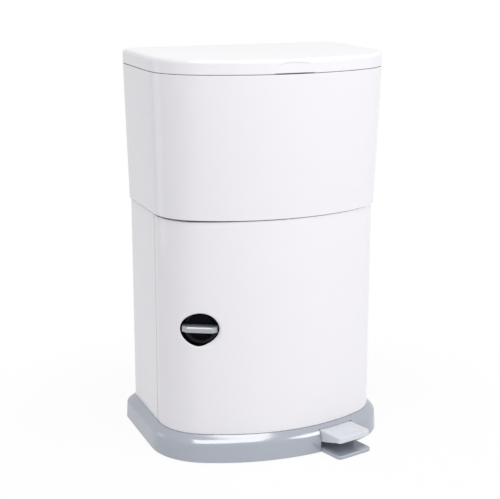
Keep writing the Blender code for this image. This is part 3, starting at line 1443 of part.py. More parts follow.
def latch_keeper(material):
    """Hook on the rear shell's return. The turned tongue lies behind the hook's slanting lip."""
    tip = KNOB_PLACE + KNOB_IN * TONGUE_FRONT - KNOB_ALONG * TONGUE_LENGTH
    inner_x = tip.x - KEEPER_GAP
    outer_x = -(BODY_WIDTH / 2 - SHELL_RETURN - SEAT)
    lip_x = inner_x + KEEPER_LIP

    def lip_back(x):
        """In front of the line that the turned tongue's face follows."""
        return tip.y + (tip.x - x) * math.tan(KNOB_TURN) - KEEPER_GAP

    foot_front = SEAM_Y + SEAM_GAP + WALL + SEAT
    foot_back = foot_front + KEEPER_THICK
    points = (
        (lip_x, lip_back(lip_x) - KEEPER_THICK),
        (lip_x, lip_back(lip_x)),
        (inner_x, lip_back(inner_x)),
        (inner_x, foot_back),
        (outer_x - KEEPER_FOOT + KEEPER_THICK, foot_back),
        (outer_x - KEEPER_FOOT + KEEPER_THICK, foot_front),
        (outer_x, foot_front),
        (outer_x, lip_back(outer_x) - KEEPER_THICK),
    )
    low = KNOB_Z - KEEPER_HEIGHT / 2
    return prism("latch_keeper", points, low, low + KEEPER_HEIGHT, material)


def build():
    white = finish("glossy white", WHITE, 0.22)
    base_grey = finish("blue-grey plastic", BLUE_GREY, 0.3)
    pedal_grey = finish("pale grey plastic", PALE_GREY, 0.38)
    inner_grey = finish("mid grey plastic", MID_GREY, 0.45)
    black = finish("black plastic", BLACK, 0.4)
    steel = finish("zinc-plated steel", STEEL, 0.35, 1.0)
    rubber = finish("black rubber", DARK_RUBBER, 0.75)
    seal = finish("grey seal rubber", SEAL_GREY, 0.7)

    middle_y = (BASE_BACK + lowest_front_y()) / 2
    datum = joint_empty("bin", Vector((0, -middle_y, 0)), None)

    fixed = [
        base_tray(base_grey),
        pedal_axle(steel),
        rear_shell(white),
        rod_cover(white),
        upper_shell(white),
        collar(inner_grey),
        liner_cassette(black),
        hinge_pin("hinge_pin_left", -1, steel),
        hinge_pin("hinge_pin_right", 1, steel),
        latch_keeper(steel),
    ]
    fixed += [rubber_foot(number, place, rubber) for number, place in enumerate(post_places(), 1)]

    pedal_pieces = [pedal_pad(pedal_grey), pedal_lever(steel)]
    rod_pieces = [push_rod(steel), rod_yoke(black), lift_bar(steel)]
    lid_pieces = [lid_shell(white), lid_lining(white), lid_gasket(seal), lid_crank(steel)]
    (front_end, front_y), (rear_end, rear_y) = flap_pivots()
    front_flap = [
        flap("flap_front", front_end, front_y, inner_grey),
        flap_seal("flap_seal_front", front_end, rubber),
        flap_crank("flap_crank_front", front_end, front_y, steel),
    ]
    rear_flap = [
        flap("flap_rear", rear_end, rear_y, inner_grey),
        flap_seal("flap_seal_rear", rear_end, rubber),
        flap_crank("flap_crank_rear", rear_end, rear_y, steel),
    ]
    door_pieces = [
        door_panel(white),
        latch_cup(black),
        door_pin("door_pin_foot", False, steel),
        door_pin("door_pin_top", True, steel),
    ]
    knob_pieces = [knob(base_grey), latch_tongue(steel), latch_screw(steel)]

    for piece in fixed:
        carry(piece, datum, Vector())
    groups = (
        ("pedal_joint", PIVOT, pedal_pieces),
        ("rod_joint", Vector((ROD_X, ROD_Y, TAIL_Z)), rod_pieces),
        ("lid_joint", Vector((0, HINGE_Y, HINGE_Z)), lid_pieces),
        ("front_flap_joint", Vector((0, front_y, FLAP_Z)), front_flap),
        ("rear_flap_joint", Vector((0, rear_y, FLAP_Z)), rear_flap),
        ("door_joint", Vector((DOOR_AXIS_X, DOOR_AXIS_Y, DOOR_FOOT_Z)), door_pieces),
    )
    empties = {}
    for name, place, pieces in groups:
        empties[name] = joint_empty(name, place, datum)
        for piece in pieces:
            carry(piece, empties[name], place)
    door_place = empties["door_joint"].location
    knob_place = KNOB_PLACE + KNOB_IN * CUP_FLOOR
    knob_joint = joint_empty("knob_joint", knob_place - door_place, empties["door_joint"])
    for piece in knob_pieces:
        carry(piece, knob_joint, knob_place)
    print_joints(middle_y, empties)


def lowest_front_y():
    """The frontmost point is on the left half of the ledge's rounded front edge."""
    centre = BOW_CENTRE + OUT * LEDGE_REACH
    points = []
    half = LEDGE_WIDTH / 2
    for side in (-1, 1):
        corner = centre - OUT * LEDGE_CORNER + SIDE * side * (half - LEDGE_CORNER)
        for a in steps(0, math.pi / 2, THROAT_STEPS):
            rim = OUT * math.cos(a) + SIDE * side * math.sin(a)
            points.append((corner + rim * LEDGE_CORNER).y)
    return min(points)


def print_joints(middle_y, empties):
    """Joint places as the world has them, for whoever writes the motion down."""
    for name, empty in empties.items():
        place = empty.location - Vector((0, middle_y, 0))
        print(name, [round(value, 6) for value in place])
    knob_place = KNOB_PLACE - Vector((0, middle_y, 0))
    print("knob at", [round(value, 6) for value in knob_place], "along", [round(v, 6) for v in -KNOB_IN])
    print("pedal axle along", [round(value, 6) for value in SIDE])
    print("rod travel", round(ROD_TRAVEL, 6), "shift of y", round(-middle_y, 6))


build()
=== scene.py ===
# %% [markdown]
# # A pedal nappy bin, dressed
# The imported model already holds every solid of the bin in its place: shells, lid, door, pedal,
# rods and flaps. Its shells have few faces, so their gloss would show facets. This lesson gives
# the moulded pieces smooth surfaces computed with numpy, gives every piece a finish made of
# shader nodes, and sets the bin in a plain white studio. The camera, floor and lamps come last.

import json
import math

import bmesh
import bpy
import numpy as np
from mathutils import Matrix, Vector


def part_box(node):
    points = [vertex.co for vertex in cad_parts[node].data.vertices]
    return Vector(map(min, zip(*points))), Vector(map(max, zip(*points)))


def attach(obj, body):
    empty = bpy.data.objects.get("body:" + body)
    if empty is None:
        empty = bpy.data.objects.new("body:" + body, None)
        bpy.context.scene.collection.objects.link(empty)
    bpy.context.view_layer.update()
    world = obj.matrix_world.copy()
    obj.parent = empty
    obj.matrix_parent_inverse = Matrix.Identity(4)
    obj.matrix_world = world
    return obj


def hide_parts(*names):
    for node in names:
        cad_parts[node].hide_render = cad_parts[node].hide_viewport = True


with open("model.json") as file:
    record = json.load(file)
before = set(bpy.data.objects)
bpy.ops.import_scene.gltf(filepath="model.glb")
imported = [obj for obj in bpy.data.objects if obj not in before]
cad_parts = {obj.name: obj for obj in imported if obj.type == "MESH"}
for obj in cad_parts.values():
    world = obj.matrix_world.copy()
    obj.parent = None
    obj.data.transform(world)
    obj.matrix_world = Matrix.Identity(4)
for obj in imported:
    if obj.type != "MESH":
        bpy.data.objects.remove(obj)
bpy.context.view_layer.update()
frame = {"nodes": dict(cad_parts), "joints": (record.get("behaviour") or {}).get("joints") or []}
print("solids loaded:", len(frame["nodes"]))

# %% [markdown]
# ## One plan for every tier
# Base, body and rim are the same plan at different sizes: a bowed front, two large front
# corners, straight sides and small rear corners. On the real bin each tier is one moulding that
# follows that plan, so one function that returns the plan as an array of points serves them all.
# Each arc is sampled finely enough that its chords stray from it by less than a tenth of a
# millimetre, and a finer share of the bow can be asked for where a detail sits.

# %% Sizes of the tiers, in metres
WALL = 0.003
SEAT = 0.0003  # between two pieces that rest on each other
BOW_DEPTH = 0.0732  # rise of the bow's arc over the full width
REAR_CORNER = 0.032
BODY_BACK = 0.2189
FOOT_Z = 0.001
SHOULDER_Z = 0.030  # where the base's skirt ends
DECK_Z = 0.048
LID_HEIGHT = 0.0261  # from the upper shell's rim to the lid's top
SEAL_ROOM = 0.0024  # from that rim to the lid's foot
TOP_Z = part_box("lid_shell")[1].z
RIM_Z = TOP_Z - LID_HEIGHT
LID_FOOT_Z = RIM_Z + SEAL_ROOM
UPPER_FOOT_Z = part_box("rear_shell")[1].z + SEAT
DOOR_LOW, DOOR_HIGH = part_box("door_panel")
SHIFT_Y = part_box("rear_shell")[1].y - BODY_BACK


def tier(width, front, back, corner):
    """Six numbers for one plan. Bow radius = (half width squared + rise squared) / (2 rise)."""
    half = width / 2
    bow = (half**2 + BOW_DEPTH**2) / (2 * BOW_DEPTH)
    return np.array([width, front, back, bow, corner, REAR_CORNER])


def shrunk(level, depth):
    """The plan moved inwards by one depth all round."""
    return level - np.array([2, 1, 1, 1, 1, 1]) * depth


BASE = tier(width=0.440, front=0.0993, back=0.2296, corner=0.111)
BODY = tier(width=0.409, front=0.0851, back=BODY_BACK, corner=0.0937)
UPPER = tier(width=0.4164, front=0.0868, back=0.2159, corner=0.0937)
RIM = tier(width=0.4308, front=0.1009, back=0.2164, corner=0.1103)
HALF_BODY = BODY[0] / 2
print("shift from the mould's datum:", round(SHIFT_Y, 6))

# %% The plan as points
BOW_SHARES = np.linspace(0, 1, 41)
FRONT_BENDS = 24
REAR_BENDS = 14
SIDE_STEPS = 6
BACK_STEPS = 8


def plan_facts(level):
    """Centre and reach of the arcs: bow centre y, corner centre, angle where they meet."""
    width, front, _, bow, corner, _ = level
    bow_y = bow - front
    corner_x = width / 2 - corner
    corner_y = bow_y - math.sqrt((bow - corner) ** 2 - corner_x**2)
    return bow_y, corner_x, corner_y, math.atan2(corner_x, bow_y - corner_y)


def front_half(level, bow_shares=BOW_SHARES):
    """Right half of the front: the bow's arc from x = 0, then the corner's arc."""
    _, _, _, bow, corner, _ = level
    bow_y, corner_x, corner_y, meet = plan_facts(level)
    a = meet * bow_shares
    front = np.column_stack([bow * np.sin(a), bow_y - bow * np.cos(a)])
    a = np.linspace(meet, np.pi / 2, FRONT_BENDS + 1)[1:]
    turn = np.column_stack([corner_x + corner * np.sin(a), corner_y - corner * np.cos(a)])
    return np.concatenate([front, turn])


def rear_half(level):
    """Right half of the back: the rear corner's arc, then the line to x = 0."""
    width, _, back, _, _, rear = level
    a = np.linspace(0, np.pi / 2, REAR_BENDS + 1)
    turn = np.column_stack([width / 2 - rear + rear * np.cos(a), back - rear + rear * np.sin(a)])
    line_x = np.linspace(turn[-1, 0], 0, BACK_STEPS + 1)[1:]
    return np.concatenate([turn, np.column_stack([line_x, np.full(BACK_STEPS, back)])])


def plan_curve(level, bow_shares=BOW_SHARES):
    """Closed plan, anticlockwise from the middle of the front: right half and its mirror image."""
    front = front_half(level, bow_shares)
    rear = rear_half(level)
    side_y = np.linspace(front[-1, 1], rear[0, 1], SIDE_STEPS + 1)[1:-1]
    side = np.column_stack([np.full(SIDE_STEPS - 1, level[0] / 2), side_y])
    right = np.concatenate([front, side, rear])
    return np.concatenate([right, right[-2:0:-1] * (-1, 1)]) + (0, SHIFT_Y)


def ring(level, z, bow_shares=BOW_SHARES):
    """The closed plan as points at one height."""
    plan = plan_curve(level, bow_shares)
    return np.column_stack([plan, np.full(len(plan), z)])


def front_y(level, x):
    """Depth of the front face at x: the bow's circle inside, the corner's circle outside."""
    _, _, _, bow, corner, _ = level
    bow_y, corner_x, corner_y, meet = plan_facts(level)
    x = np.abs(x)
    on_bow = bow_y - np.sqrt(np.maximum(bow**2 - x**2, 0))
    on_corner = corner_y - np.sqrt(np.maximum(corner**2 - (x - corner_x) ** 2, 0))
    return np.where(x < bow * np.sin(meet), on_bow, on_corner) + SHIFT_Y


print("points round one plan:", len(plan_curve(BODY)))

# %% [markdown]
# ## Grids, soft corners and finished meshes
# Every computed piece is a grid: rows of points, as many in each row, joined by quads. Moulded
# plastic has no knife edge, so a profile's corners are softened first. Each corner becomes a
# short curve with one spare point either side, which keeps the bend's shading off the flat wall.

# %% Helpers for grids
CREASE = 32  # degrees, past which an edge stays sharp
MERGE = 0.00002  # points closer than this become one
EDGE = 0.0005  # softened edge of a wall
FINE_EDGE = 0.0004  # softened edge of a small piece
BEND_STEPS = 4
MOST_CUT = 0.38  # a bend takes at most this share of the shorter side beside it
MOST_SPARE = 0.47  # and its spare points lie within this share
SPARE_CUTS = 2.4  # a spare point lies this many cuts from the corner


def grid_quads(rows, columns, wrap_rows=False, wrap_columns=False, start=0):
    """Corner numbers of each quad: point (r, c) has the number start + r * columns + c."""
    r = np.arange(rows if wrap_rows else rows - 1)[:, None]
    c = np.arange(columns if wrap_columns else columns - 1)[None, :]
    r2 = (r + 1) % rows
    c2 = (c + 1) % columns
    quads = [r * columns + c, r * columns + c2, r2 * columns + c2, r2 * columns + c]
    return (np.stack(quads, axis=-1).reshape(-1, 4) + start).tolist()


def bridge(border, start):
    """Quads from a closed border, given as point numbers, to a ring that begins at a number."""
    count = len(border)
    ahead = [(i + 1) % count for i in range(count)]
    return [[border[i], border[j], start + j, start + i] for i, j in enumerate(ahead)]


def soften(corners, radius, closed=True):
    """Each corner P between A and B becomes (1-t)^2 A + 2t(1-t) P + t^2 B, with spare points."""
    corners = np.asarray(corners, float)
    ahead = np.roll(corners, -1, axis=0) - corners
    behind = np.roll(corners, 1, axis=0) - corners
    far_ahead = np.linalg.norm(ahead, axis=1, keepdims=True)
    far_behind = np.linalg.norm(behind, axis=1, keepdims=True)
    cut = np.minimum(radius, MOST_CUT * np.minimum(far_ahead, far_behind))
    start = (corners + behind / far_behind * cut)[:, None]
    end = (corners + ahead / far_ahead * cut)[:, None]
    t = np.linspace(0, 1, BEND_STEPS + 1)[None, :, None]
    bend = (1 - t) ** 2 * start + 2 * t * (1 - t) * corners[:, None] + t**2 * end
    spare = np.minimum(SPARE_CUTS * cut, MOST_SPARE * np.minimum(far_ahead, far_behind))
    before = (corners + behind / far_behind * spare)[:, None]
    after = (corners + ahead / far_ahead * spare)[:, None]
    rows = np.concatenate([before, bend, after], axis=1)
    if closed:
        return rows.reshape(-1, corners.shape[1])
    inner = rows[1:-1].reshape(-1, corners.shape[1])
    return np.concatenate([corners[:1], inner, corners[-1:]])


def rolled(radius, first, last, count):
    """Pairs (inwards, up) on a rounded edge: radius (1 - cos a), radius sin a."""
    a = np.linspace(first, last, count)
    return np.column_stack([radius * (1 - np.cos(a)), radius * np.sin(a)])


def smooth_step(t):
    """t^2 (3 - 2t): rises from 0 to 1 with a level start and end."""
    return t * t * (3 - 2 * t)


def finished(name, points, faces, crease=CREASE):
    """A mesh from points and faces: doubles merged, faces turned outwards, smooth but for creases."""
    mesh = bpy.data.meshes.new(name)
    mesh.from_pydata(np.asarray(points).reshape(-1, 3).tolist(), [], faces)
    shape = bmesh.new()
    shape.from_mesh(mesh)
    bmesh.ops.remove_doubles(shape, verts=shape.verts, dist=MERGE)
    bmesh.ops.recalc_face_normals(shape, faces=shape.faces)
    shape.to_mesh(mesh)
    shape.free()
    mesh.shade_smooth()
    mesh.set_sharp_from_angle(angle=math.radians(crease))
    piece = bpy.data.objects.new(name, mesh)
    bpy.context.scene.collection.objects.link(piece)
    return piece


def settle(piece):
    """Keep what the modifiers make of a piece as its own mesh, and mark its creases again."""
    graph = bpy.context.evaluated_depsgraph_get()
    mesh = bpy.data.meshes.new_from_object(piece.evaluated_get(graph))
    piece.modifiers.clear()
    piece.data = mesh
    mesh.shade_smooth()
    mesh.set_sharp_from_angle(angle=math.radians(CREASE))
    return piece


def cut_from(piece, *tools):
    """Take the tools' shapes out of the piece, then remove the tools."""
    for tool in tools:
        step = piece.modifiers.new(tool.name, "BOOLEAN")
        step.operation = "DIFFERENCE"
        step.object = tool
    settle(piece)
    for tool in tools:
        bpy.data.objects.remove(tool)
    return piece


print("helpers for grids ready, creases at", CREASE, "degrees")

# %% Helpers for sweeps, extrusions and turned pieces
ALONG_X = (1, 2, 0)  # an outline in (y, z) drawn out along x
ALONG_Y = (0, 2, 1)  # an outline in (x, z) drawn out along y
ALONG_Z = (0, 1, 2)  # an outline in (x, y) drawn out along z
OUTLINE_STEP = 0.002  # most between two points of an extruded outline


def placed(u, v, w, order):
    """Three arrays of coordinates as points, each going to the axis that the order names."""
    points = np.empty(np.broadcast(u, v, w).shape + (3,))
    points[..., order[0]], points[..., order[1]], points[..., order[2]] = u, v, w
    return points


def sweep(name, rows, poles=False, closed_rows=False):
    """Rows of closed rings, one after another. Poles are closed by a last ring at their middle."""
    rows = np.asarray(rows)
    if poles:
        ends = [np.repeat(rows[i].mean(axis=0)[None], rows.shape[1], axis=0) for i in (0, -1)]
        rows = np.concatenate([ends[0][None], rows, ends[1][None]])
    quads = grid_quads(rows.shape[0], rows.shape[1], closed_rows, True)
    return finished(name, rows, quads)


def ribbon(name, outer, inner, low, high):
    """A wall between two open paths of as many points: its section is a softened rectangle."""
    depth = float(np.linalg.norm(inner[0] - outer[0]))
    section = soften([(0, low), (0, high), (depth, high), (depth, low)], EDGE)
    share = (section[:, 0] / depth)[:, None, None]
    flat = outer[None] + (inner - outer)[None] * share
    rows, columns = flat.shape[:2]
    points = placed(flat[..., 0], flat[..., 1], section[:, 1, None], ALONG_Z)
    first = [r * columns for r in range(rows)]
    last = [r * columns + columns - 1 for r in reversed(range(rows))]
    faces = grid_quads(rows, columns, True, False) + [first, last]
    return finished(name, points, faces)


def rectangle(x_low, x_high, y_low, y_high):
    """The four corners of a rectangle, anticlockwise from its lower left."""
    return [(x_low, y_low), (x_high, y_low), (x_high, y_high), (x_low, y_high)]


def dense(corners, step):
    """The closed outline with points no further apart than the step."""
    parts = []
    for a, b in zip(corners, np.roll(corners, -1, axis=0)):
        count = max(1, int(np.ceil(np.linalg.norm(b - a) / step)))
        parts.append(a + (b - a) * np.linspace(0, 1, count, endpoint=False)[:, None])
    return np.concatenate(parts)


def extruded(name, corners, low, high, order, edge, bore=None):
    """An outline drawn out along an axis, with softened ends and, if asked, a round bore.
    Bore points lie on the same rays from the bore's centre as the outline's points."""
    outline = dense(np.asarray(corners, float), OUTLINE_STEP)
    centre = np.asarray(bore[0] if bore else outline.mean(axis=0))
    spoke = outline - centre
    unit = spoke / np.linalg.norm(spoke, axis=1, keepdims=True)
    trimmed = outline - unit * edge
    inside = centre + unit * (bore[1] if bore else 0)
    flat = np.stack([inside, trimmed, outline, outline, trimmed, inside])
    heights = np.array([low, low, low + edge, high - edge, high, high])
    points = placed(flat[..., 0], flat[..., 1], heights[:, None], order)
    return finished(name, points, grid_quads(6, len(outline), bore is not None, True))


def turned(name, profile, centre, order, count=64):
    """A profile of (radius, height) turned about an axis: point = centre + r (cos a, sin a)."""
    profile = np.asarray(profile, float)
    a = np.linspace(0, 2 * np.pi, count, endpoint=False)
    u = centre[0] + profile[:, 0, None] * np.cos(a)
    v = centre[1] + profile[:, 0, None] * np.sin(a)
    points = placed(u, v, profile[:, 1, None], order)
    return finished(name, points, grid_quads(len(profile), count, False, True))


def round_tool(name, radius, heights, centre, count=64):
    """A plain upright cylinder to cut with."""
    low, high = heights
    profile = [(0, low), (radius, low), (radius, high), (0, high)]
    return turned(name, profile, centre, ALONG_Z, count)


print("helpers for sweeps ready, outlines in steps of", OUTLINE_STEP, "m")

# %% [markdown]
# ## Finishes
# The bin is moulded plastic: a polished white for the shells, a blue-grey for the base, a paler
# grey for the pedal. Polished mouldings are never flat: their colour drifts slightly where the
# melt flowed, their gloss is a little uneven, and the surface has a very shallow ripple. One node
# group makes those three for every plastic and rubber. Steel needs another, with fine drawn
# lines. Each group only puts out a colour, a roughness and a height, so it can be baked.

# %% Node group: moulded plastic
NOISE_RANGE = (0.3, 0.7)  # a noise seldom leaves it
SKIN_OUTPUTS = [
    ("Colour", "NodeSocketColor"),
    ("Roughness", "NodeSocketFloat"),
    ("Height", "NodeSocketFloat"),
]


def new_group(name, inputs, outputs):
    """An empty shader group with its sockets. A socket is (name, kind, default)."""
    group = bpy.data.node_groups.new(name, "ShaderNodeTree")
    for label, kind, default in inputs:
        socket = group.interface.new_socket(label, in_out="INPUT", socket_type=kind)
        if default is not None:
            socket.default_value = default
    for label, kind in outputs:
        group.interface.new_socket(label, in_out="OUTPUT", socket_type=kind)
    return group, group.nodes.new("NodeGroupInput"), group.nodes.new("NodeGroupOutput")


def feed(group, source, socket):
    """Set a socket to a number, or link it to another node's output."""
    if isinstance(source, (int, float)):
        socket.default_value = source
    else:
        group.links.new(source, socket)


def noise(group, vector, scale, detail, rough=0.5):
    """A noise as a value: the place times the scale sets its size, detail adds finer layers."""
    node = group.nodes.new("ShaderNodeTexNoise")
    node.inputs["Detail"].default_value = detail
    node.inputs["Roughness"].default_value = rough
    group.links.new(vector, node.inputs["Vector"])
    feed(group, scale, node.inputs["Scale"])
    return node.outputs["Fac"]


def mix_colour(group, factor, first, second):
    """Colour mix. The Mix node's sockets 6, 7 and output 2 are its colours."""
    node = group.nodes.new("ShaderNodeMix")
    node.data_type = "RGBA"
    group.links.new(factor, node.inputs[0])
    group.links.new(first, node.inputs[6])
    group.links.new(second, node.inputs[7])
    return node.outputs[2]


def spread(group, value, low, high):
    """Stretch the range that a noise fills over a new one."""
    node = group.nodes.new("ShaderNodeMapRange")
    node.inputs["From Min"].default_value, node.inputs["From Max"].default_value = NOISE_RANGE
    group.links.new(value, node.inputs["Value"])
    feed(group, low, node.inputs["To Min"])
    feed(group, high, node.inputs["To Max"])
    return node.outputs["Result"]


MOULDED, inside, out = new_group(
    "moulded skin",
    [
        ("Position", "NodeSocketVector", None),
        ("Colour", "NodeSocketColor", (0.8, 0.8, 0.8, 1)),
        ("Flow colour", "NodeSocketColor", (0.7, 0.7, 0.7, 1)),
        ("Gloss low", "NodeSocketFloat", 0.2),
        ("Gloss high", "NodeSocketFloat", 0.3),
        ("Grain", "NodeSocketFloat", 900.0),
    ],
    SKIN_OUTPUTS,
)
place = inside.outputs["Position"]
flow = spread(MOULDED, noise(MOULDED, place, scale=7.0, detail=2.0), low=0.0, high=1.0)
tint = mix_colour(MOULDED, flow, inside.outputs["Colour"], inside.outputs["Flow colour"])
smear = noise(MOULDED, place, scale=38.0, detail=4.0, rough=0.6)
gloss = spread(MOULDED, smear, inside.outputs["Gloss low"], inside.outputs["Gloss high"])
grain = noise(MOULDED, place, inside.outputs["Grain"], detail=2.0)
MOULDED.links.new(tint, out.inputs["Colour"])
MOULDED.links.new(gloss, out.inputs["Roughness"])
MOULDED.links.new(grain, out.inputs["Height"])
print("group made:", MOULDED.name)

# %% Node group: drawn steel
DRAWN, inside, out = new_group(
    "drawn steel",
    [
        ("Position", "NodeSocketVector", None),
        ("Along", "NodeSocketVector", (8.0, 900.0, 900.0)),
        ("Colour", "NodeSocketColor", (0.6, 0.6, 0.6, 1)),
        ("Tarnish", "NodeSocketColor", (0.45, 0.45, 0.45, 1)),
    ],
    SKIN_OUTPUTS,
)
place = inside.outputs["Position"]
stretch = DRAWN.nodes.new("ShaderNodeVectorMath")
stretch.operation = "MULTIPLY"
DRAWN.links.new(place, stretch.inputs[0])
DRAWN.links.new(inside.outputs["Along"], stretch.inputs[1])
lines = noise(DRAWN, stretch.outputs["Vector"], scale=1.0, detail=2.0)
cloud = spread(DRAWN, noise(DRAWN, place, scale=55.0, detail=5.0), low=0.0, high=1.0)
colour = mix_colour(DRAWN, cloud, inside.outputs["Colour"], inside.outputs["Tarnish"])
DRAWN.links.new(colour, out.inputs["Colour"])
DRAWN.links.new(spread(DRAWN, lines, low=0.24, high=0.42), out.inputs["Roughness"])
DRAWN.links.new(lines, out.inputs["Height"])
print("group made:", DRAWN.name)

# %% [markdown]
# The groups are placed in one material per finish. What stays the same all over a piece, such as
# the coat of a polished shell or the metal's metallic value, is set on the shader's own socket.

# %% A material from a group
LINES_ACROSS = 900.0  # noise scale across the drawn lines
LINES_ALONG = 9.0  # noise scale along them


def shaded(name, group, values, ripple, depth, **fixed):
    """A Principled material whose colour, roughness and bump come from a group."""
    material = bpy.data.materials.new(name)
    material.use_nodes = True
    tree = material.node_tree
    shader = tree.nodes["Principled BSDF"]
    where = tree.nodes.new("ShaderNodeTexCoord")
    maker = tree.nodes.new("ShaderNodeGroup")
    maker.node_tree = group
    tree.links.new(where.outputs["Object"], maker.inputs["Position"])
    for label, value in values.items():
        maker.inputs[label].default_value = value
    tree.links.new(maker.outputs["Colour"], shader.inputs["Base Color"])
    tree.links.new(maker.outputs["Roughness"], shader.inputs["Roughness"])
    bump = tree.nodes.new("ShaderNodeBump")
    bump.inputs["Strength"].default_value = ripple
    bump.inputs["Distance"].default_value = depth
    tree.links.new(maker.outputs["Height"], bump.inputs["Height"])
    tree.links.new(bump.outputs["Normal"], shader.inputs["Normal"])
    for label, value in fixed.items():
        shader.inputs[label.replace("_", " ")].default_value = value
    material.diffuse_color = (*values["Colour"][:3], 1)
    return material


def plastic(name, colour, flow, gloss, grain=900.0, ripple=0.1, depth=0.00004, **fixed):
    """A moulded finish: two colours, a range of roughness, and a ripple's scale and depth."""
    values = {
        "Colour": (*colour, 1),
        "Flow colour": (*flow, 1),
        "Gloss low": gloss[0],
        "Gloss high": gloss[1],
        "Grain": grain,
    }
    return shaded(name, MOULDED, values, ripple, depth, **fixed)


def steel(name, axis, colour=(0.62, 0.63, 0.64), tarnish=(0.50, 0.51, 0.53)):
    """Steel with lines drawn along one axis: its noise is coarse along them and fine across."""
    along = [LINES_ACROSS] * 3
    along[axis] = LINES_ALONG
    values = {"Along": along, "Colour": (*colour, 1), "Tarnish": (*tarnish, 1)}
    return shaded(name, DRAWN, values, ripple=0.15, depth=0.00003, Metallic=1.0)


print("materials read the groups", MOULDED.name, "and", DRAWN.name)

# %% [markdown]
# The shells are near white with a faint violet, and glossy enough to mirror a lamp. On the real
# base the shoulder is bright and the skirt dark, so the base has a clear coat with a high index
# over a skin that mirrors nothing itself. The recess must stay dark though lamps shine in, so
# its black mirrors little.

# %% The bin's plastics and rubbers
WHITE_SHELL = plastic(
    "polished white shell",
    colour=(0.84, 0.829, 0.845),
    flow=(0.832, 0.821, 0.839),
    gloss=(0.07, 0.10),
    grain=60.0,
    ripple=0.012,
    depth=0.0002,
)
WHITE_INNER = plastic(
    "satin white inside", colour=(0.78, 0.78, 0.79), flow=(0.72, 0.72, 0.73), gloss=(0.42, 0.55)
)
BASE_GREY = plastic(
    "blue-grey base",
    colour=(0.33, 0.365, 0.42),
    flow=(0.32, 0.355, 0.41),
    gloss=(0.16, 0.20),
    grain=70.0,
    ripple=0.02,
    depth=0.0002,
    Specular_IOR_Level=0.0,
    Coat_Weight=1.0,
    Coat_Roughness=0.15,
    Coat_IOR=2.2,
)
PEDAL_GREY = plastic(
    "pale grey pedal",
    colour=(0.70, 0.715, 0.745),
    flow=(0.66, 0.675, 0.71),
    gloss=(0.30, 0.42),
    grain=1400.0,
    ripple=0.25,
    depth=0.00005,
)
KNOB_GREY = plastic(
    "blue-grey knob",
    colour=(0.36, 0.375, 0.41),
    flow=(0.345, 0.36, 0.395),
    gloss=(0.20, 0.28),
    Coat_Weight=1.0,
    Coat_Roughness=0.06,
    Coat_IOR=1.8,
)
INNER_GREY = plastic(
    "mid grey inside", colour=(0.30, 0.315, 0.34), flow=(0.27, 0.285, 0.31), gloss=(0.42, 0.55)
)
CASSETTE_DARK = plastic(
    "dark cassette", colour=(0.035, 0.035, 0.04), flow=(0.05, 0.05, 0.055), gloss=(0.40, 0.52)
)
BLACK_GLOSS = plastic(
    "black recess",
    colour=(0.003, 0.004, 0.008),
    flow=(0.005, 0.006, 0.012),
    gloss=(0.16, 0.24),
    Specular_IOR_Level=0.22,
)
BLACK_MATT = plastic(
    "black disc",
    colour=(0.002, 0.003, 0.006),
    flow=(0.004, 0.005, 0.009),
    gloss=(0.50, 0.60),
    Specular_IOR_Level=0.08,
)
SEAL_GREY = plastic(
    "grey lid seal",
    colour=(0.36, 0.365, 0.375),
    flow=(0.33, 0.335, 0.345),
    gloss=(0.60, 0.75),
    grain=1800.0,
    ripple=0.3,
)
RUBBER = plastic(
    "black rubber",
    colour=(0.022, 0.022, 0.025),
    flow=(0.034, 0.034, 0.037),
    gloss=(0.62, 0.8),
    grain=1800.0,
    ripple=0.4,
)
print("plastics and rubbers are made")

# %% The bin's steels, and putting a finished piece on the bin
STEEL_X = steel("steel drawn along x", 0)
STEEL_Y = steel("steel drawn along y", 1)
STEEL_Z = steel("steel drawn along z", 2)
# Nearly black steel for the pedal's lever: painted shade under the pedal.
LEVER_SHADE_STEEL = steel(
    "black-plated steel", 1, colour=(0.045, 0.045, 0.05), tarnish=(0.03, 0.03, 0.034)
)


def dress(piece, body, finish, slot, *nodes):
    """Finish a piece, let it ride on its body and hide the solids it stands for."""
    piece.data.materials.clear()
    piece.data.materials.append(finish)
    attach(piece, body)
    if nodes:
        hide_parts(*nodes)
    print(f"{piece.name}: {len(piece.data.polygons)} faces on {body}")
    return piece


print("finishes made:", len(bpy.data.materials))

# %% [markdown]
# ## Base tray
# The base is one upturned tray: an upright skirt, a rolled shoulder and a flat deck, hollow
# below. Its section is carried round the plan. The shoulder is steep just above the skirt and
# then runs in almost straight to the body's foot, so it is a smooth curve through a few measured
# shares of its width and height.

# %% Base skin
SHOULDER = np.array([(0, 0), (0.05, 0.20), (0.16, 0.36), (0.40, 0.58), (0.72, 0.80), (1, 1)])
SHOULDER_ROWS = 26
SHOULDER_INSET = 0.0013  # the shoulder starts this far inside the skirt's foot
SHOULDER_SPARE = 0.0025  # a spare row this far below the shoulder
DECK_SPREAD = 0.0005  # the shoulder ends this far outside the body
DECK_SPARES = (0.0015, 0.030)  # rows on the flat deck, in from the body
CEILING_SPARES = (0.030, WALL + 0.002, WALL)  # rows on the flat face below it
SKIRT_LEAN = 0.0007  # at half of its height
FOOT_EDGE = [(0.0010, 0), (0.0004, 0.0002), (0.0001, 0.0006), (0.0001, 0.0020)]  # inwards, up


def through(points, count):
    """Smooth curve through points: cubic Hermite pieces with slopes from the points either side."""
    slopes = np.gradient(points, axis=0)
    t = np.linspace(0, len(points) - 1, count)
    i = np.minimum(t.astype(int), len(points) - 2)
    s = (t - i)[:, None]
    a, b = points[i], points[i + 1]
    ma, mb = slopes[i], slopes[i + 1]
    return (
        (2 * s**3 - 3 * s**2 + 1) * a
        + (s**3 - 2 * s**2 + s) * ma
        + (-2 * s**3 + 3 * s**2) * b
        + (s**3 - s**2) * mb
    )


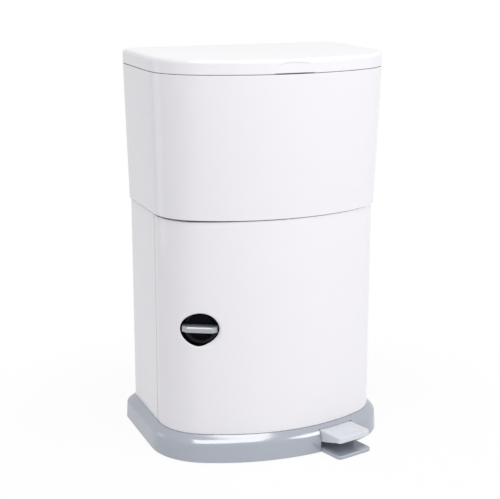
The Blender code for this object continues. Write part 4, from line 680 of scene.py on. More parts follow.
edge_plan = shrunk(BASE, SHOULDER_INSET)
deck_plan = shrunk(BODY, -DECK_SPREAD)
levels = [(shrunk(BODY, depth), DECK_Z - WALL) for depth in CEILING_SPARES]
levels += [(shrunk(edge_plan, WALL), SHOULDER_Z), (shrunk(BASE, WALL), FOOT_Z)]
levels += [(shrunk(BASE, inward), FOOT_Z + up) for inward, up in FOOT_EDGE]
levels += [(shrunk(BASE, SKIRT_LEAN), (FOOT_Z + SHOULDER_Z) / 2)]
levels += [(edge_plan, SHOULDER_Z - SHOULDER_SPARE)]
for inward, up in through(SHOULDER, SHOULDER_ROWS):
    level = edge_plan + (deck_plan - edge_plan) * inward
    levels.append((level, SHOULDER_Z + (DECK_Z - SHOULDER_Z) * up))
levels += [(shrunk(BODY, depth), DECK_Z) for depth in DECK_SPARES]
base = sweep("base_skin", [ring(level, z) for level, z in levels], poles=True)
print("base skin:", len(base.data.polygons), "faces")

# %% [markdown]
# The pedal's slot goes through the skirt and the shoulder, and the push rod and the door's pin
# pass the deck. Those openings are cut with Booleans, since none of them follows the plan's grid.
# The pedal is offset and turned, so whatever belongs to it is given by its distance out from the
# pivot and to the side, and one function turns those into places.

# %% The pedal's own directions
JOINTS = {joint["name"]: joint for joint in frame["joints"]}
PIVOT = np.array(JOINTS["pedal_pivot"]["pos_m"])
SIDE = np.array(JOINTS["pedal_pivot"]["axis"])
OUT = np.array([SIDE[1], -SIDE[0], 0.0])
PEDAL_REACH = 0.1415  # from the pivot out to the pedal's front edge
PEDAL_WIDTH = 0.074
BLOCK_ENDS = [[3, 2, 1, 0], [4, 5, 6, 7]]


def pedal_frame(out, side, z):
    """Points given by distance out from the pivot, distance to the side, and height."""
    out, side, z = np.broadcast_arrays(out, side, z)
    flat = PIVOT[:2] + out[..., None] * OUT[:2] + side[..., None] * SIDE[:2]
    return np.concatenate([flat, z[..., None]], axis=-1)


def pedal_prism(name, outs, sides, heights):
    """Four points, given by distance out and height, drawn out from one side to another."""
    rows = [pedal_frame(outs, side, heights) for side in sides]
    return finished(name, rows, grid_quads(2, 4, False, True) + BLOCK_ENDS)


def pedal_block(name, outs, sides, heights):
    """A box in the pedal's directions, used to cut with or as a rib."""
    o, w = np.array(outs)[[0, 1, 1, 0]], np.array(sides)[[0, 0, 1, 1]]
    rows = [pedal_frame(o, w, height) for height in heights]
    return finished(name, rows, grid_quads(2, 4, False, True) + BLOCK_ENDS)


print("the pedal points to", OUT.round(3))

# %% Openings of the base
SLOT_PLAY = 0.002  # on each side of the pedal
SLOT_OUT = (0.066, 0.127)
SLOT_Z = (0.0045, 0.0418)
DECK_CUT = (0.04, 0.052)  # heights of the cutters through the deck
ROD_ROOM = 0.0055
PIN_ROOM = 0.0024
PIN_STEPS = 24
ROD_LOW, ROD_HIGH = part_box("push_rod")
ROD = ((ROD_LOW.x + ROD_HIGH.x) / 2, (ROD_LOW.y + ROD_HIGH.y) / 2)
DOOR_AXIS = JOINTS["door_hinge"]["pos_m"][:2]
half = PEDAL_WIDTH / 2 + SLOT_PLAY
cut_from(
    base,
    pedal_block("slot_tool", SLOT_OUT, (-half, half), SLOT_Z),
    round_tool("rod_tool", ROD_ROOM, DECK_CUT, ROD),
    round_tool("pin_tool", PIN_ROOM, DECK_CUT, DOOR_AXIS, PIN_STEPS),
)
dress(base, "stand", BASE_GREY, "base_plastic", "base_tray")

# %% [markdown]
# Under the deck hang four posts for the rubber feet, two ears for the pedal's axle and two ribs
# that stiffen the deck behind them. A post is a turned profile, and an ear is a flat prism that
# gets narrower downwards, so neither needs more than its few corners.

# %% Posts for the feet
POST_RADIUS = 0.011
POST_Z = (0.004, 0.0455)
POST_EDGE = 0.0006
STEM_HOLE = 0.0033  # its radius
STEM_TOP = 0.012  # height at which it ends
POST_STEPS = 40
low, high = POST_Z
outline = [(0, low), (POST_RADIUS, low), (POST_RADIUS, high), (0, high)]
hole = [(STEM_HOLE, STEM_TOP), (STEM_HOLE, low)]
profile = np.concatenate([hole, soften(outline, POST_EDGE, closed=False)[1:]])
for number in range(1, 5):
    low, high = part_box(f"foot_{number}")
    centre = ((low.x + high.x) / 2, (low.y + high.y) / 2)
    post = turned(f"base_post_{number}", profile, centre, ALONG_Z, POST_STEPS)
    dress(post, "stand", BASE_GREY, "base_plastic")

# %% Ears for the axle and ribs under the deck
EAR_NEAR = 0.0128  # from the lever's middle to an ear's inner face
EAR_THICK = 0.003
EAR_OUT = np.array([-0.011, -0.0055, 0.0055, 0.011])
EAR_Z = np.array([0.046, 0.014, 0.014, 0.046])
RIB_THICK = 0.0025
RIB_OUT = (-0.19, -0.011)
RIB_Z = (0.034, 0.046)
for side, tag in ((-1, "left"), (1, "right")):
    near = side * EAR_NEAR
    sides = sorted((near, near + side * EAR_THICK))
    ear = pedal_prism(f"axle_ear_{tag}", EAR_OUT, sides, EAR_Z)
    dress(ear, "stand", BASE_GREY, "base_plastic")
    sides = sorted((near, near + side * RIB_THICK))
    rib = pedal_block(f"deck_rib_{tag}", RIB_OUT, sides, RIB_Z)
    dress(rib, "stand", BASE_GREY, "base_plastic")

# %% [markdown]
# ## Ledge and pedal
# The fixed ledge and the pedal above it share one outline: a strip with two rounded front
# corners. For the pedal's top the strip becomes a grid, dense across the tread, and each groove
# is pushed down by a smooth bump. The side walls then run down from the grid's border, with the
# top edge rolled over, and they get deeper towards the base.

# %% A strip with rounded front corners
CORNER_BENDS = 14
STRIP_FRONT = 22  # points along the strip's straight front


def strip_sides(out, front, width, corner, inward):
    """Half width at a distance out: full up to the corner, then the corner's quarter circle."""
    reach = np.clip(out - (front - inward - (corner - inward)), 0, corner - inward)
    return width / 2 - corner + np.sqrt(np.maximum((corner - inward) ** 2 - reach**2, 0))


def strip_border(back, front, width, corner, inward, shares):
    """The border, from the left back corner round the front to the right back corner."""
    out = back + (front - inward - back) * shares
    half_width = strip_sides(out, front, width, corner, inward)
    across = np.linspace(-1, 1, STRIP_FRONT + 2)[1:-1] * half_width[-1]
    outs = np.concatenate([out, np.full(len(across), out[-1]), out[::-1]])
    sides = np.concatenate([-half_width, across, half_width[::-1]])
    return outs, sides


def corner_shares(back, front, corner, straight):
    """Shares of the length: even along the straight, then even turns round the corner."""
    start = (front - corner - back) / (front - back)
    turn = start + (1 - start) * np.sin(np.linspace(0, np.pi / 2, CORNER_BENDS + 1))
    return np.concatenate([np.linspace(0, start, straight + 1)[:-1], turn])


print("a strip's corner turns in", CORNER_BENDS, "steps")

# %% Ledge
LEDGE_FRONT = PEDAL_REACH + 0.003
LEDGE_BACK = LEDGE_FRONT - 0.075
LEDGE_WIDTH = 0.076
LEDGE_CORNER = 0.008
LEDGE_TOP = 0.008
LEDGE_EDGE = 0.0016  # radius of its top edge
LEDGE_SPARES = (0.0058, 0.0028)  # height below the round, distance inwards above it
LEDGE_FOOT = [(0.0008, 0.001), (0.0002, 0.0014), (0, 0.002)]  # inwards, height
shares = corner_shares(LEDGE_BACK, LEDGE_FRONT, LEDGE_CORNER, straight=14)
section = LEDGE_FOOT + [(0, LEDGE_SPARES[0])]
for inward, up in rolled(LEDGE_EDGE, 0, np.pi / 2, 7):
    section.append((inward, LEDGE_TOP - LEDGE_EDGE + up))
section.append((LEDGE_SPARES[1], LEDGE_TOP))
rows = []
for inward, z in section:
    outs, sides = strip_border(LEDGE_BACK, LEDGE_FRONT, LEDGE_WIDTH, LEDGE_CORNER, inward, shares)
    rows.append(pedal_frame(outs, sides, z))
count = len(rows[0])
caps = [list(range(count))[::-1], [(len(rows) - 1) * count + i for i in range(count)]]
ledge = finished("ledge", rows, grid_quads(len(rows), count, False, True) + caps)
dress(ledge, "stand", BASE_GREY, "base_plastic")

# %% Pedal's top with its grooves
PEDAL_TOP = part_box("pedal")[1].z
PEDAL_BACK = PEDAL_REACH - 0.061
PEDAL_CORNER = 0.007
ROLL = 0.0022  # radius of the rolled top edge
GROOVES = 4
GROOVE_SETBACK = 0.0139  # from the front edge to the first groove's middle
GROOVE_PITCH = 0.0048
GROOVE_HALF = 0.0009  # half of its width
GROOVE_DEPTH = 0.0009
GROOVE_REACH = 0.022  # half of its length
GROOVE_END = 0.0003  # how softly it ends
END_LOW, END_HIGH = 0.56, 0.66  # shares of the half width, round the grooves' ends
shares = corner_shares(PEDAL_BACK, PEDAL_REACH, PEDAL_CORNER, straight=130)
near_ends = [np.linspace(-END_HIGH, -END_LOW, 9), np.linspace(END_LOW, END_HIGH, 9)]
across = np.unique(np.concatenate([np.linspace(-1, 1, 31)] + near_ends))
out = PEDAL_BACK + (PEDAL_REACH - ROLL - PEDAL_BACK) * shares
half_width = strip_sides(out, PEDAL_REACH, PEDAL_WIDTH, PEDAL_CORNER, ROLL)
side_grid = across[None, :] * half_width[:, None]
out_grid = np.broadcast_to(out[:, None], side_grid.shape)
grooves = 0
for k in range(GROOVES):
    middle = PEDAL_REACH - GROOVE_SETBACK - GROOVE_PITCH * k
    grooves = grooves + np.exp(-(((out_grid - middle) / GROOVE_HALF) ** 4))
ends = 1 / (1 + np.exp((np.abs(side_grid) - GROOVE_REACH) / GROOVE_END))
top = pedal_frame(out_grid, side_grid, PEDAL_TOP - GROOVE_DEPTH * grooves * ends)
print("pedal's top:", top.shape[0], "by", top.shape[1], "points")

# %% Pedal's walls
PEDAL_DEPTH = 0.0205  # at the base's wall
PEDAL_RISE = 0.0100  # how much less deep its front is
PEDAL_SLOPE = 0.045  # length over which it gets less deep
ROLL_START = 1.35  # angle of the roll's first row, just below the top
ROLL_SPARE = 0.001
PEDAL_EDGE = [(0, 0.0012), (0.0001, 0.0004), (0.0006, 0), (WALL, 0)]  # inwards, above the foot
rows_top, columns_top = side_grid.shape
border = [r * columns_top for r in range(rows_top)]
border += [(rows_top - 1) * columns_top + c for c in range(1, columns_top - 1)]
border += [r * columns_top + columns_top - 1 for r in reversed(range(rows_top))]
border += [c for c in reversed(range(1, columns_top - 1))]


def pedal_foot(out):
    """Lower edge: deep at the base's wall, rising evenly to a thin front."""
    share = np.clip((out - (PEDAL_REACH - PEDAL_SLOPE)) / (PEDAL_SLOPE - PEDAL_CORNER), 0, 1)
    return PEDAL_TOP - PEDAL_DEPTH + PEDAL_RISE * share


def pedal_loop(inward, z=None, above=0.0):
    """The pedal's whole border at an inset, as points in the order of the grid's border.
    Without a height it runs along the lower edge, or above it."""
    outs = PEDAL_BACK + (PEDAL_REACH - inward - PEDAL_BACK) * shares
    half_out = strip_sides(outs, PEDAL_REACH, PEDAL_WIDTH, PEDAL_CORNER, inward)
    row = across[1:-1]
    ends = [np.full(len(row), outs[-1]), np.full(len(row), PEDAL_BACK)]
    o = np.concatenate([outs, ends[0], outs[::-1], ends[1]])
    w = np.concatenate([-half_out, row * half_out[-1], half_out[::-1], row[::-1] * half_out[0]])
    return pedal_frame(o, w, pedal_foot(o) + above if z is None else z)


loops = [pedal_loop(inward, PEDAL_TOP - ROLL + up) for inward, up in rolled(ROLL, ROLL_START, 0, 6)]
loops.append(pedal_loop(0, PEDAL_TOP - ROLL - ROLL_SPARE))
loops += [pedal_loop(inward, above=above) for inward, above in PEDAL_EDGE]
loops.append(pedal_loop(WALL, PEDAL_TOP - WALL))
count = len(border)
start = rows_top * columns_top
faces = grid_quads(rows_top, columns_top) + bridge(border, start)
faces += grid_quads(len(loops), count, False, True, start)
faces += [[start + (len(loops) - 1) * count + i for i in range(count)]]
pedal = finished("pedal_pad", np.concatenate([top.reshape(-1, 3)] + loops), faces, crease=40)
dress(pedal, "pedal", PEDAL_GREY, "pedal_plastic", "pedal")

# %% [markdown]
# ## Rear shell and door
# The lower body is two mouldings. The rear one wraps the back and both sides and turns in beside
# the door; the door wraps the bow and both front corners. Both are ribbons: a wall between an
# outer and an inner path. The rear shell stops short of the door and of the upper shell, and
# those gaps are the thin dark lines that one sees on the real bin.

# %% Rear shell
SEAM_BACK = 0.0442  # the door's edge, from the mould's datum
SEAM_LINE = 0.0024  # width of the upright line beside the door
TIER_LINE = 0.0030  # width of the line under the upper shell
RETURN = 0.012  # how far the shell turns in
SIDE_START = 0.03  # length of the side's first stretch
SEAM_Y = SEAM_BACK + SHIFT_Y
edge_y = SEAM_Y + SEAM_LINE


def rear_wall(level, start_y, return_x):
    """Path round the back: return, corner, side, rear arcs, side, corner, return."""
    half_width = level[0] / 2
    bend = [(return_x, start_y), (half_width, start_y), (half_width, start_y + SIDE_START)]
    rear = rear_half(level) + (0, SHIFT_Y)
    right = np.concatenate([soften(bend, EDGE, closed=False), rear])
    return np.concatenate([right, right[-2::-1] * (-1, 1)])


return_x = HALF_BODY - RETURN
outer = rear_wall(BODY, edge_y, return_x)
inner = rear_wall(shrunk(BODY, WALL), edge_y + WALL, return_x)
shell = ribbon("rear_skin", outer, inner, DECK_Z + SEAT, UPPER_FOOT_Z - TIER_LINE)
dress(shell, "stand", WHITE_SHELL, "white_shell", "rear_shell")

# %% Guides for the push rod on the rear wall
GUIDE_HALF = 0.009
GUIDE_FRONT = 0.007  # from the rod's middle forwards
GUIDE_RISE = 0.005  # half of its height
GUIDE_BORE = 0.00335
GUIDE_WELD = 0.001  # how far it sinks into the wall
LOWER_GUIDES = (0.237, 0.906)  # shares of the body's height


def guide(name, z, wall_y):
    """A bracket on the back wall with a bore for the push rod."""
    left, right, near = ROD[0] - GUIDE_HALF, ROD[0] + GUIDE_HALF, ROD[1] - GUIDE_FRONT
    corners = [(right, near), (right, wall_y), (left, wall_y), (left, near)]
    low, high = z - GUIDE_RISE, z + GUIDE_RISE
    piece = extruded(name, corners, low, high, ALONG_Z, FINE_EDGE, (ROD, GUIDE_BORE))
    return dress(piece, "stand", WHITE_INNER, "white_inner")


body_height = UPPER_FOOT_Z - SEAT - DECK_Z
inside_y = BODY_BACK + SHIFT_Y - WALL + GUIDE_WELD
for number, share in enumerate(LOWER_GUIDES, 1):
    guide(f"lower_guide_{number}", DECK_Z + body_height * share, inside_y)

# %% [markdown]
# The door has a round opening for its knob, so it can't be a plain ribbon. Its front is a sheet
# whose grid leaves out a square round the opening, and rings of points lead from that square to
# the circle, with no Boolean to spoil the gloss. In the photograph the line above the door thins
# from left to right, so the sheet's last two rows are moved by a small amount that changes with
# x, down at the left and up from there on. Spare rows beside the foot, the top and the seam keep
# the edge's shading off the wall.

# %% Door sheet
KNOB_SETBACK = 0.0535  # from the body's left side
PATCH = 0.036  # half of the square that the grid leaves out
PATCH_STEPS = 18
BAND_ROWS = 7  # rows below the square, and above it
SPARE = 0.002  # from an edge to its spare row or column
TOP_X = (-0.17, -0.08, 0.20)
TOP_LIFT = (-0.0012, 0.0008, 0.0014)  # of the door's top, at each x above
KNOB_X = KNOB_SETBACK - HALF_BODY
KNOB_Z = JOINTS["knob_turn"]["pos_m"][2]


def front_wall(level):
    """Path round the front, from the left end of the front's arcs to the right end."""
    half_path = front_half(level) + (0, SHIFT_Y)
    return np.concatenate([half_path[::-1] * (-1, 1), half_path[1:]])


x_patch = np.linspace(KNOB_X - PATCH, KNOB_X + PATCH, PATCH_STEPS + 1)
z_patch = np.linspace(KNOB_Z - PATCH, KNOB_Z + PATCH, PATCH_STEPS + 1)
whole = front_wall(BODY)
left_end = [(-HALF_BODY, SEAM_Y), (-HALF_BODY, SEAM_Y - SPARE)]
left_part = whole[whole[:, 0] < x_patch[0] - SPARE]
patch_part = np.column_stack([x_patch, front_y(BODY, x_patch)])
right_part = whole[whole[:, 0] > x_patch[-1] + SPARE]
right_end = [(HALF_BODY, DOOR_AXIS[1])]
path = np.concatenate([left_end, left_part, patch_part, right_part, right_end])
low, high = DOOR_LOW.z, DOOR_HIGH.z
below = np.linspace(low, z_patch[0], BAND_ROWS + 1)[:-1]
above = np.linspace(z_patch[-1], high, BAND_ROWS + 1)[1:]
foot = [below[:1], [low + SPARE], below[1:]]
head = [above[:-1], [high - SPARE], above[-1:]]
heights = np.concatenate(foot + [z_patch] + head)
points = placed(path[None, :, 0], path[None, :, 1], heights[:, None], ALONG_Z)
points[-2:, :, 2] += np.interp(path[:, 0], TOP_X, TOP_LIFT)
points = points.reshape(-1, 3)
print("door's grid:", len(heights), "by", len(path), "points")

# %% [markdown]
# The opening has a rounded lip. At the lower right the lip is broader, and one sees it as a pale
# crescent inside the dark recess. So each ring's radius is cut by a share of a depth that rises
# and falls smoothly with the angle, and the rings stay one grid.

# %% Door's round opening
RECESS = 0.0305  # radius inside the lip
LIP = 0.0030  # radius of the lip's round
LIP_START = 0.2  # angle of the round's first ring, just behind the face
LIP_SPARE = 0.0006
THROAT = 0.005  # depth of the last ring
SQUARE_SHARES = (0.75, 0.5, 0.25, 0)  # rings that lead from the square to the circle
CRESCENT = 0.0036
CRESCENT_TURN = (-104, -60, -46, 12)  # degrees: it starts, is full, starts to thin, ends
LIP_SHARE = 0.6  # share of the crescent at the end of the lip's round
NEXT_SHARE = 0.72  # and at the ring after it
n = PATCH_STEPS
first_row, first_column = 1 + len(below), len(left_end) + len(left_part)
rows, columns = len(heights), len(path)


def number_at(r, c):
    """Number of a point of the door's grid, counted from the square's lower left corner."""
    return (first_row + r) * columns + first_column + c


inside_patch = {number_at(r, c) for r in range(n) for c in range(n)}
faces = [quad for quad in grid_quads(rows, columns) if quad[0] not in inside_patch]
walk = [(0, c) for c in range(n)] + [(r, n) for r in range(n)]
walk += [(n, c) for c in range(n, 0, -1)] + [(r, 0) for r in range(n, 0, -1)]
square = np.array([number_at(r, c) for r, c in walk])
square_xz = points[square][:, [0, 2]]
spoke = square_xz - (KNOB_X, KNOB_Z)
unit = spoke / np.linalg.norm(spoke, axis=1, keepdims=True)


def opening_ring(radius, depth, square_share=0.0):
    """Points on a circle round the knob, behind the door's face. A share of 1 is the square."""
    flat = (KNOB_X, KNOB_Z) + unit * radius
    flat = flat + (square_xz - flat) * square_share
    return np.column_stack([flat[:, 0], front_y(BODY, flat[:, 0]) + depth, flat[:, 1]])


turn = np.degrees(np.arctan2(unit[:, 1], unit[:, 0]))
crescent = CRESCENT * smooth_step(np.interp(turn, CRESCENT_TURN, (0, 1, 1, 0)))[:, None]
rings = [opening_ring(RECESS + LIP + LIP_SPARE, 0, share) for share in SQUARE_SHARES]
for a in np.linspace(LIP_START, np.pi / 2, 8):
    dip = 1 - math.cos(a)
    radius = RECESS + LIP * (1 - math.sin(a)) - LIP_SHARE * dip * crescent
    rings.append(opening_ring(radius, LIP * dip))
rings.append(opening_ring(RECESS - NEXT_SHARE * crescent, LIP + LIP_SPARE))
rings.append(opening_ring(RECESS - crescent, THROAT))
start = len(points)
faces += bridge(square, start) + grid_quads(len(rings), len(square), False, True, start)
door = finished("door_skin", np.concatenate([points] + rings), faces, crease=60)
print("door sheet:", len(door.data.polygons), "faces")

# %% [markdown]
# The sheet is given its wall afterwards by a Solidify modifier, which follows the bow and the
# opening alike, and a Bevel softens the wall's edges. The photograph doesn't show what is behind
# it. As such doors are made, it gets a rail at its foot and top, a bead that holds the hinge pins
# and a narrow return beside the seam.

# %% Door: wall and rails
WALL_ANGLE = 50  # degrees, past which the bevel takes an edge
RAIL_INSETS = (0.0012, 0.015)
RAIL_FEET = (("foot", DOOR_LOW.z + 0.002), ("top", DOOR_HIGH.z - 0.005))
wall = door.modifiers.new("wall", "SOLIDIFY")
wall.thickness = WALL
wall.offset = -1
wall.use_even_offset = True
rim = door.modifiers.new("edge", "BEVEL")
rim.width = EDGE
rim.segments = 2
rim.limit_method = "ANGLE"
rim.angle_limit = math.radians(WALL_ANGLE)
rim.harden_normals = True
dress(settle(door), "door", WHITE_SHELL, "white_shell", "door_panel")
outer, inner = [front_wall(shrunk(BODY, inset)) for inset in RAIL_INSETS]
for tag, z in RAIL_FEET:
    rail = ribbon(f"door_rail_{tag}", outer, inner, z, z + WALL)
    dress(rail, "door", WHITE_INNER, "white_inner")

# %% Door: bead for the hinge pins, and the return beside the seam
BEAD = 0.0042
BEAD_BEVEL = 0.0004
BEAD_STEPS = 48
SOCKET = 0.0108  # depth of a pin's socket
PIN_BORE = 0.00235
DOOR_RETURN_X = (-0.2035, -0.1965)
flat = BEAD - BEAD_BEVEL
profile = [(0, low + SOCKET), (PIN_BORE, low + SOCKET), (PIN_BORE, low), (flat, low)]
profile += [(BEAD, low + BEAD_BEVEL), (BEAD, high - BEAD_BEVEL)]
profile += [(flat, high), (PIN_BORE, high), (PIN_BORE, high - SOCKET), (0, high - SOCKET)]
bead = turned("door_bead", profile, DOOR_AXIS, ALONG_Z, BEAD_STEPS)
dress(bead, "door", WHITE_SHELL, "white_shell")
corners = rectangle(*DOOR_RETURN_X, SEAM_Y - WALL, SEAM_Y)
lip = extruded("door_return", corners, low, high, ALONG_Z, FINE_EDGE)
dress(lip, "door", WHITE_SHELL, "white_shell")

# %% [markdown]
# Two black strips on the rear shell's return close the seam behind the door's edge. They keep light
# from passing through the bin from one seam to the other, and their black is painted shade: it stands
# for the shade deep in the seam, so the line shows dark. They stop above and below the latch's keeper.

# %% Rubber strips behind the seam
# The strips' black is painted shade for the depth of the seam.
STRIP_X = (-0.1948, -0.1930)
STRIP_WELD = 0.001  # how far it sinks into the return
KEEPER_ROOM = 0.019  # from the knob's height to a strip's end
strip_corners = rectangle(*STRIP_X, SEAM_Y - WALL, edge_y + STRIP_WELD)
strips = (("low", low, KNOB_Z - KEEPER_ROOM), ("high", KNOB_Z + KEEPER_ROOM, high - WALL))
for tag, foot, head in strips:
    strip = extruded(f"seam_strip_{tag}", strip_corners, foot, head, ALONG_Z, FINE_EDGE)
    dress(strip, "stand", RUBBER, "black_rubber")

# %% [markdown]
# ## Recess and knob
# The knob's axis stands square to the bowed face at the recess, so its pieces are made in a frame
# of their own and then turned into place. Behind the opening sits a dark cup: its front edge
# follows the door's curve, its floor is flat and the corner between them is rolled. The knob is a
# disc on the floor and a bar across it, with sloping ends, and its spindle passes the floor.

# %% Recess cup
CUP_FLOOR = 0.0253
CUP_RADIUS = 0.0335
CUP_OUTSIDE = 0.036
CUP_EDGE = 0.001
CUP_STEPS = 96
CUP_MOUTH = [(CUP_OUTSIDE, 0.0062), (0.0357, 0.0056), (0.0338, 0.0055), (CUP_RADIUS, 0.0058)]
FILLET = 0.0075  # between the cup's wall and its floor
SPINDLE_ROOM = 0.0055
PUSH_STEPS = 40
PUSH_SHARE = 0.6  # of the distance that is still missing, in each step
INWARD = -np.array(JOINTS["knob_turn"]["axis"])
ALONG = np.array([INWARD[1], -INWARD[0], 0.0])
UP = (0, 0, 1)
KNOB_PLACE = np.array(JOINTS["knob_turn"]["pos_m"]) - INWARD * CUP_FLOOR
turns = np.linspace(0, 2 * np.pi, CUP_STEPS, endpoint=False)[:, None]
around = np.cos(turns) * ALONG + np.sin(turns) * UP


def cup_ring(radius, depth):
    """A circle about the knob's axis: place + radius (cos a along + sin a up) + depth inward."""
    return KNOB_PLACE + around * radius + INWARD * depth


def door_ring(radius, behind):
    """The same circle pushed inwards, step by step, until it lies that far behind the door."""
    points = cup_ring(radius, 0.0)
    for _ in range(PUSH_STEPS):
        missing = front_y(BODY, points[:, 0]) + behind - points[:, 1]
        points = points + INWARD * missing[:, None] * PUSH_SHARE
    return points


cup_back = CUP_FLOOR + WALL
rows = [cup_ring(SPINDLE_ROOM, cup_back), cup_ring(CUP_OUTSIDE - CUP_EDGE, cup_back)]
rows += [cup_ring(CUP_OUTSIDE, cup_back - CUP_EDGE)]
rows += [door_ring(radius, behind) for radius, behind in CUP_MOUTH]
for inward, up in rolled(FILLET, 0, np.pi / 2, 9):
    rows.append(cup_ring(CUP_RADIUS - inward, CUP_FLOOR - FILLET + up))
rows += [cup_ring(SPINDLE_ROOM, CUP_FLOOR)]
dress(sweep("cup_skin", rows, closed_rows=True), "door", BLACK_GLOSS, "black_plastic", "latch_cup")

# %% Knob's disc, made along x, y and z and then turned into its own frame
DISC_RADIUS = 0.024
DISC_THICK = 0.004
DISC_ROUND = 0.001
DISC_BEVEL = 0.0004
ROUND_MIDDLE = 0.3  # share of the round at its middle point
TO_KNOB = Matrix([[ALONG[i], INWARD[i], UP[i], KNOB_PLACE[i]] for i in range(3)] + [[0, 0, 0, 1]])


def at_knob(piece):
    """Turn and move a piece's points: place + x along + y inward + z up, from the knob's frame."""
    piece.data.transform(TO_KNOB)
    return piece


disc_back = CUP_FLOOR - SEAT
disc_front = disc_back - DISC_THICK
middle = ROUND_MIDDLE * DISC_ROUND
profile = [(0, disc_back), (DISC_RADIUS - DISC_BEVEL, disc_back)]
profile += [(DISC_RADIUS, disc_back - DISC_BEVEL), (DISC_RADIUS, disc_front + DISC_ROUND)]
profile += [(DISC_RADIUS - middle, disc_front + middle), (DISC_RADIUS - DISC_ROUND, disc_front)]
profile += [(0, disc_front)]
disc = at_knob(turned("knob_disc", profile, (0, 0), ALONG_Y, CUP_STEPS))
dress(disc, "knob", BLACK_MATT, "black_plastic")

# %% Knob's bar and spindle
BAR_HALF = 0.0316
BAR_RAMP = 0.0090  # length of a sloping end
BAR_FACE = 0.001  # from the door's face to the bar's front
BAR_END = 0.0078  # from the door's face to the front of a sloping end
BAR_WELD = 0.0005  # how far the bar sinks into the disc
BAR_EDGE = 0.0006
# Section of the bar's front, as set-back and height: a flat face with a sloping band above it.
BAR_SECTION = [(0.0012, -0.005), (0, -0.005), (0, 0.0026), (0.0023, 0.005), (0.0044, 0.005)]
SPINDLE_RADIUS = 0.005
SPINDLE_OUT = 0.0205  # past the cup's back
SPINDLE_STEPS = 40


def bar_outline(setback):
    """The bar from above: sloping ends and a front that is set back by the given distance."""
    end, face = BAR_END + setback, BAR_FACE + setback
    left = [(-BAR_HALF, disc_front + BAR_WELD), (-BAR_HALF, end), (BAR_RAMP - BAR_HALF, face)]
    return soften(left + [(-x, y) for x, y in reversed(left)], BAR_EDGE)


rows = []
for setback, z in soften(BAR_SECTION, EDGE, closed=False):
    outline = bar_outline(setback)
    rows.append(placed(outline[:, 0], outline[:, 1], z, ALONG_Z))
bar = at_knob(sweep("knob_bar", rows, poles=True))
dress(bar, "knob", KNOB_GREY, "knob_plastic", "knob")
front, back = disc_front + WALL, cup_back + SPINDLE_OUT
tip = [(SPINDLE_RADIUS, back - DISC_BEVEL), (SPINDLE_RADIUS - DISC_BEVEL, back), (0, back)]
profile = [(0, front), (SPINDLE_RADIUS, front)] + tip
spindle = at_knob(turned("knob_spindle", profile, (0, 0), ALONG_Y, SPINDLE_STEPS))
dress(spindle, "knob", KNOB_GREY, "knob_plastic")

# %% [markdown]
# ## Upper shell
# The upper shell flares from its foot to its rim, so each row of its section uses a plan between
# the two. Its section has a flange over the lower body and a haunched shelf for the collar. The
# flange needs holes for the rod and the door's pin, and the shelf needs room for the lid's crank,
# which are cut with Booleans like the base's openings.

# %% Upper shell
SHELF_DROP = 0.0059  # below the rim
SHELF_WIDTH = 0.007
HAUNCH = 0.004
FLANGE_WIDTH = 0.024
UPPER_EDGE = 0.0008
RISE = RIM_Z - UPPER_FOOT_Z
SHELF_Z = RIM_Z - SHELF_DROP
shelf, flange, flange_z = WALL + SHELF_WIDTH, WALL + FLANGE_WIDTH, UPPER_FOOT_Z + WALL
corners = [(0, UPPER_FOOT_Z), (0, RIM_Z), (WALL, RIM_Z), (WALL, SHELF_Z), (shelf, SHELF_Z)]
corners += [(shelf, SHELF_Z - WALL), (WALL, SHELF_Z - WALL - HAUNCH), (WALL, flange_z)]
corners += [(flange, flange_z), (flange, UPPER_FOOT_Z)]
rows = []
for depth, z in soften(corners, UPPER_EDGE):
    level = UPPER + (RIM - UPPER) * (z - UPPER_FOOT_Z) / RISE
    rows.append(ring(shrunk(level, depth), z))
upper = sweep("upper_skin", rows, closed_rows=True)
print("upper skin:", len(upper.data.polygons), "faces")

# %% Upper shell's openings and its guides for the rod
CRANK_ROOM_LEFT = 0.0065  # from the rod's middle
CRANK_ROOM_RIGHT = 0.0285
CRANK_ROOM_FRONT = 0.1971 + SHIFT_Y
UPPER_WALL_Y = 0.2139 + SHIFT_Y
CUTTER_EDGE = 0.0001
CUT_BELOW, CUT_ABOVE = 0.005, 0.001  # the cutter's reach past the shelf
FLANGE_REACH = 0.005  # half of a cutter's height
UPPER_GUIDES = (0.254, 0.819)  # shares of the upper shell's height
room = rectangle(ROD[0] - CRANK_ROOM_LEFT, CRANK_ROOM_RIGHT, CRANK_ROOM_FRONT, UPPER_WALL_Y)
room_z = (SHELF_Z - WALL - CUT_BELOW, SHELF_Z + CUT_ABOVE)
flange_middle = UPPER_FOOT_Z + WALL / 2
flange_cut = (flange_middle - FLANGE_REACH, flange_middle + FLANGE_REACH)
cut_from(
    upper,
    extruded("crank_room", room, *room_z, ALONG_Z, CUTTER_EDGE),
    round_tool("rod_room", ROD_ROOM, flange_cut, ROD),
    round_tool("pin_room", PIN_ROOM, flange_cut, DOOR_AXIS, PIN_STEPS),
)
dress(upper, "stand", WHITE_SHELL, "white_shell", "upper_shell")
for number, share in enumerate(UPPER_GUIDES, 1):
    guide(f"upper_guide_{number}", UPPER_FOOT_Z + RISE * share, UPPER_WALL_Y)

# %% [markdown]
# The lid turns on two steel pins in knuckles behind the rim. On each side a knuckle of the lid
# sits between two of the shell. Each is a web with a round end and a bore, so it is one outline
# drawn out along x. The bore's points lie on the same rays from its centre as the outline's.

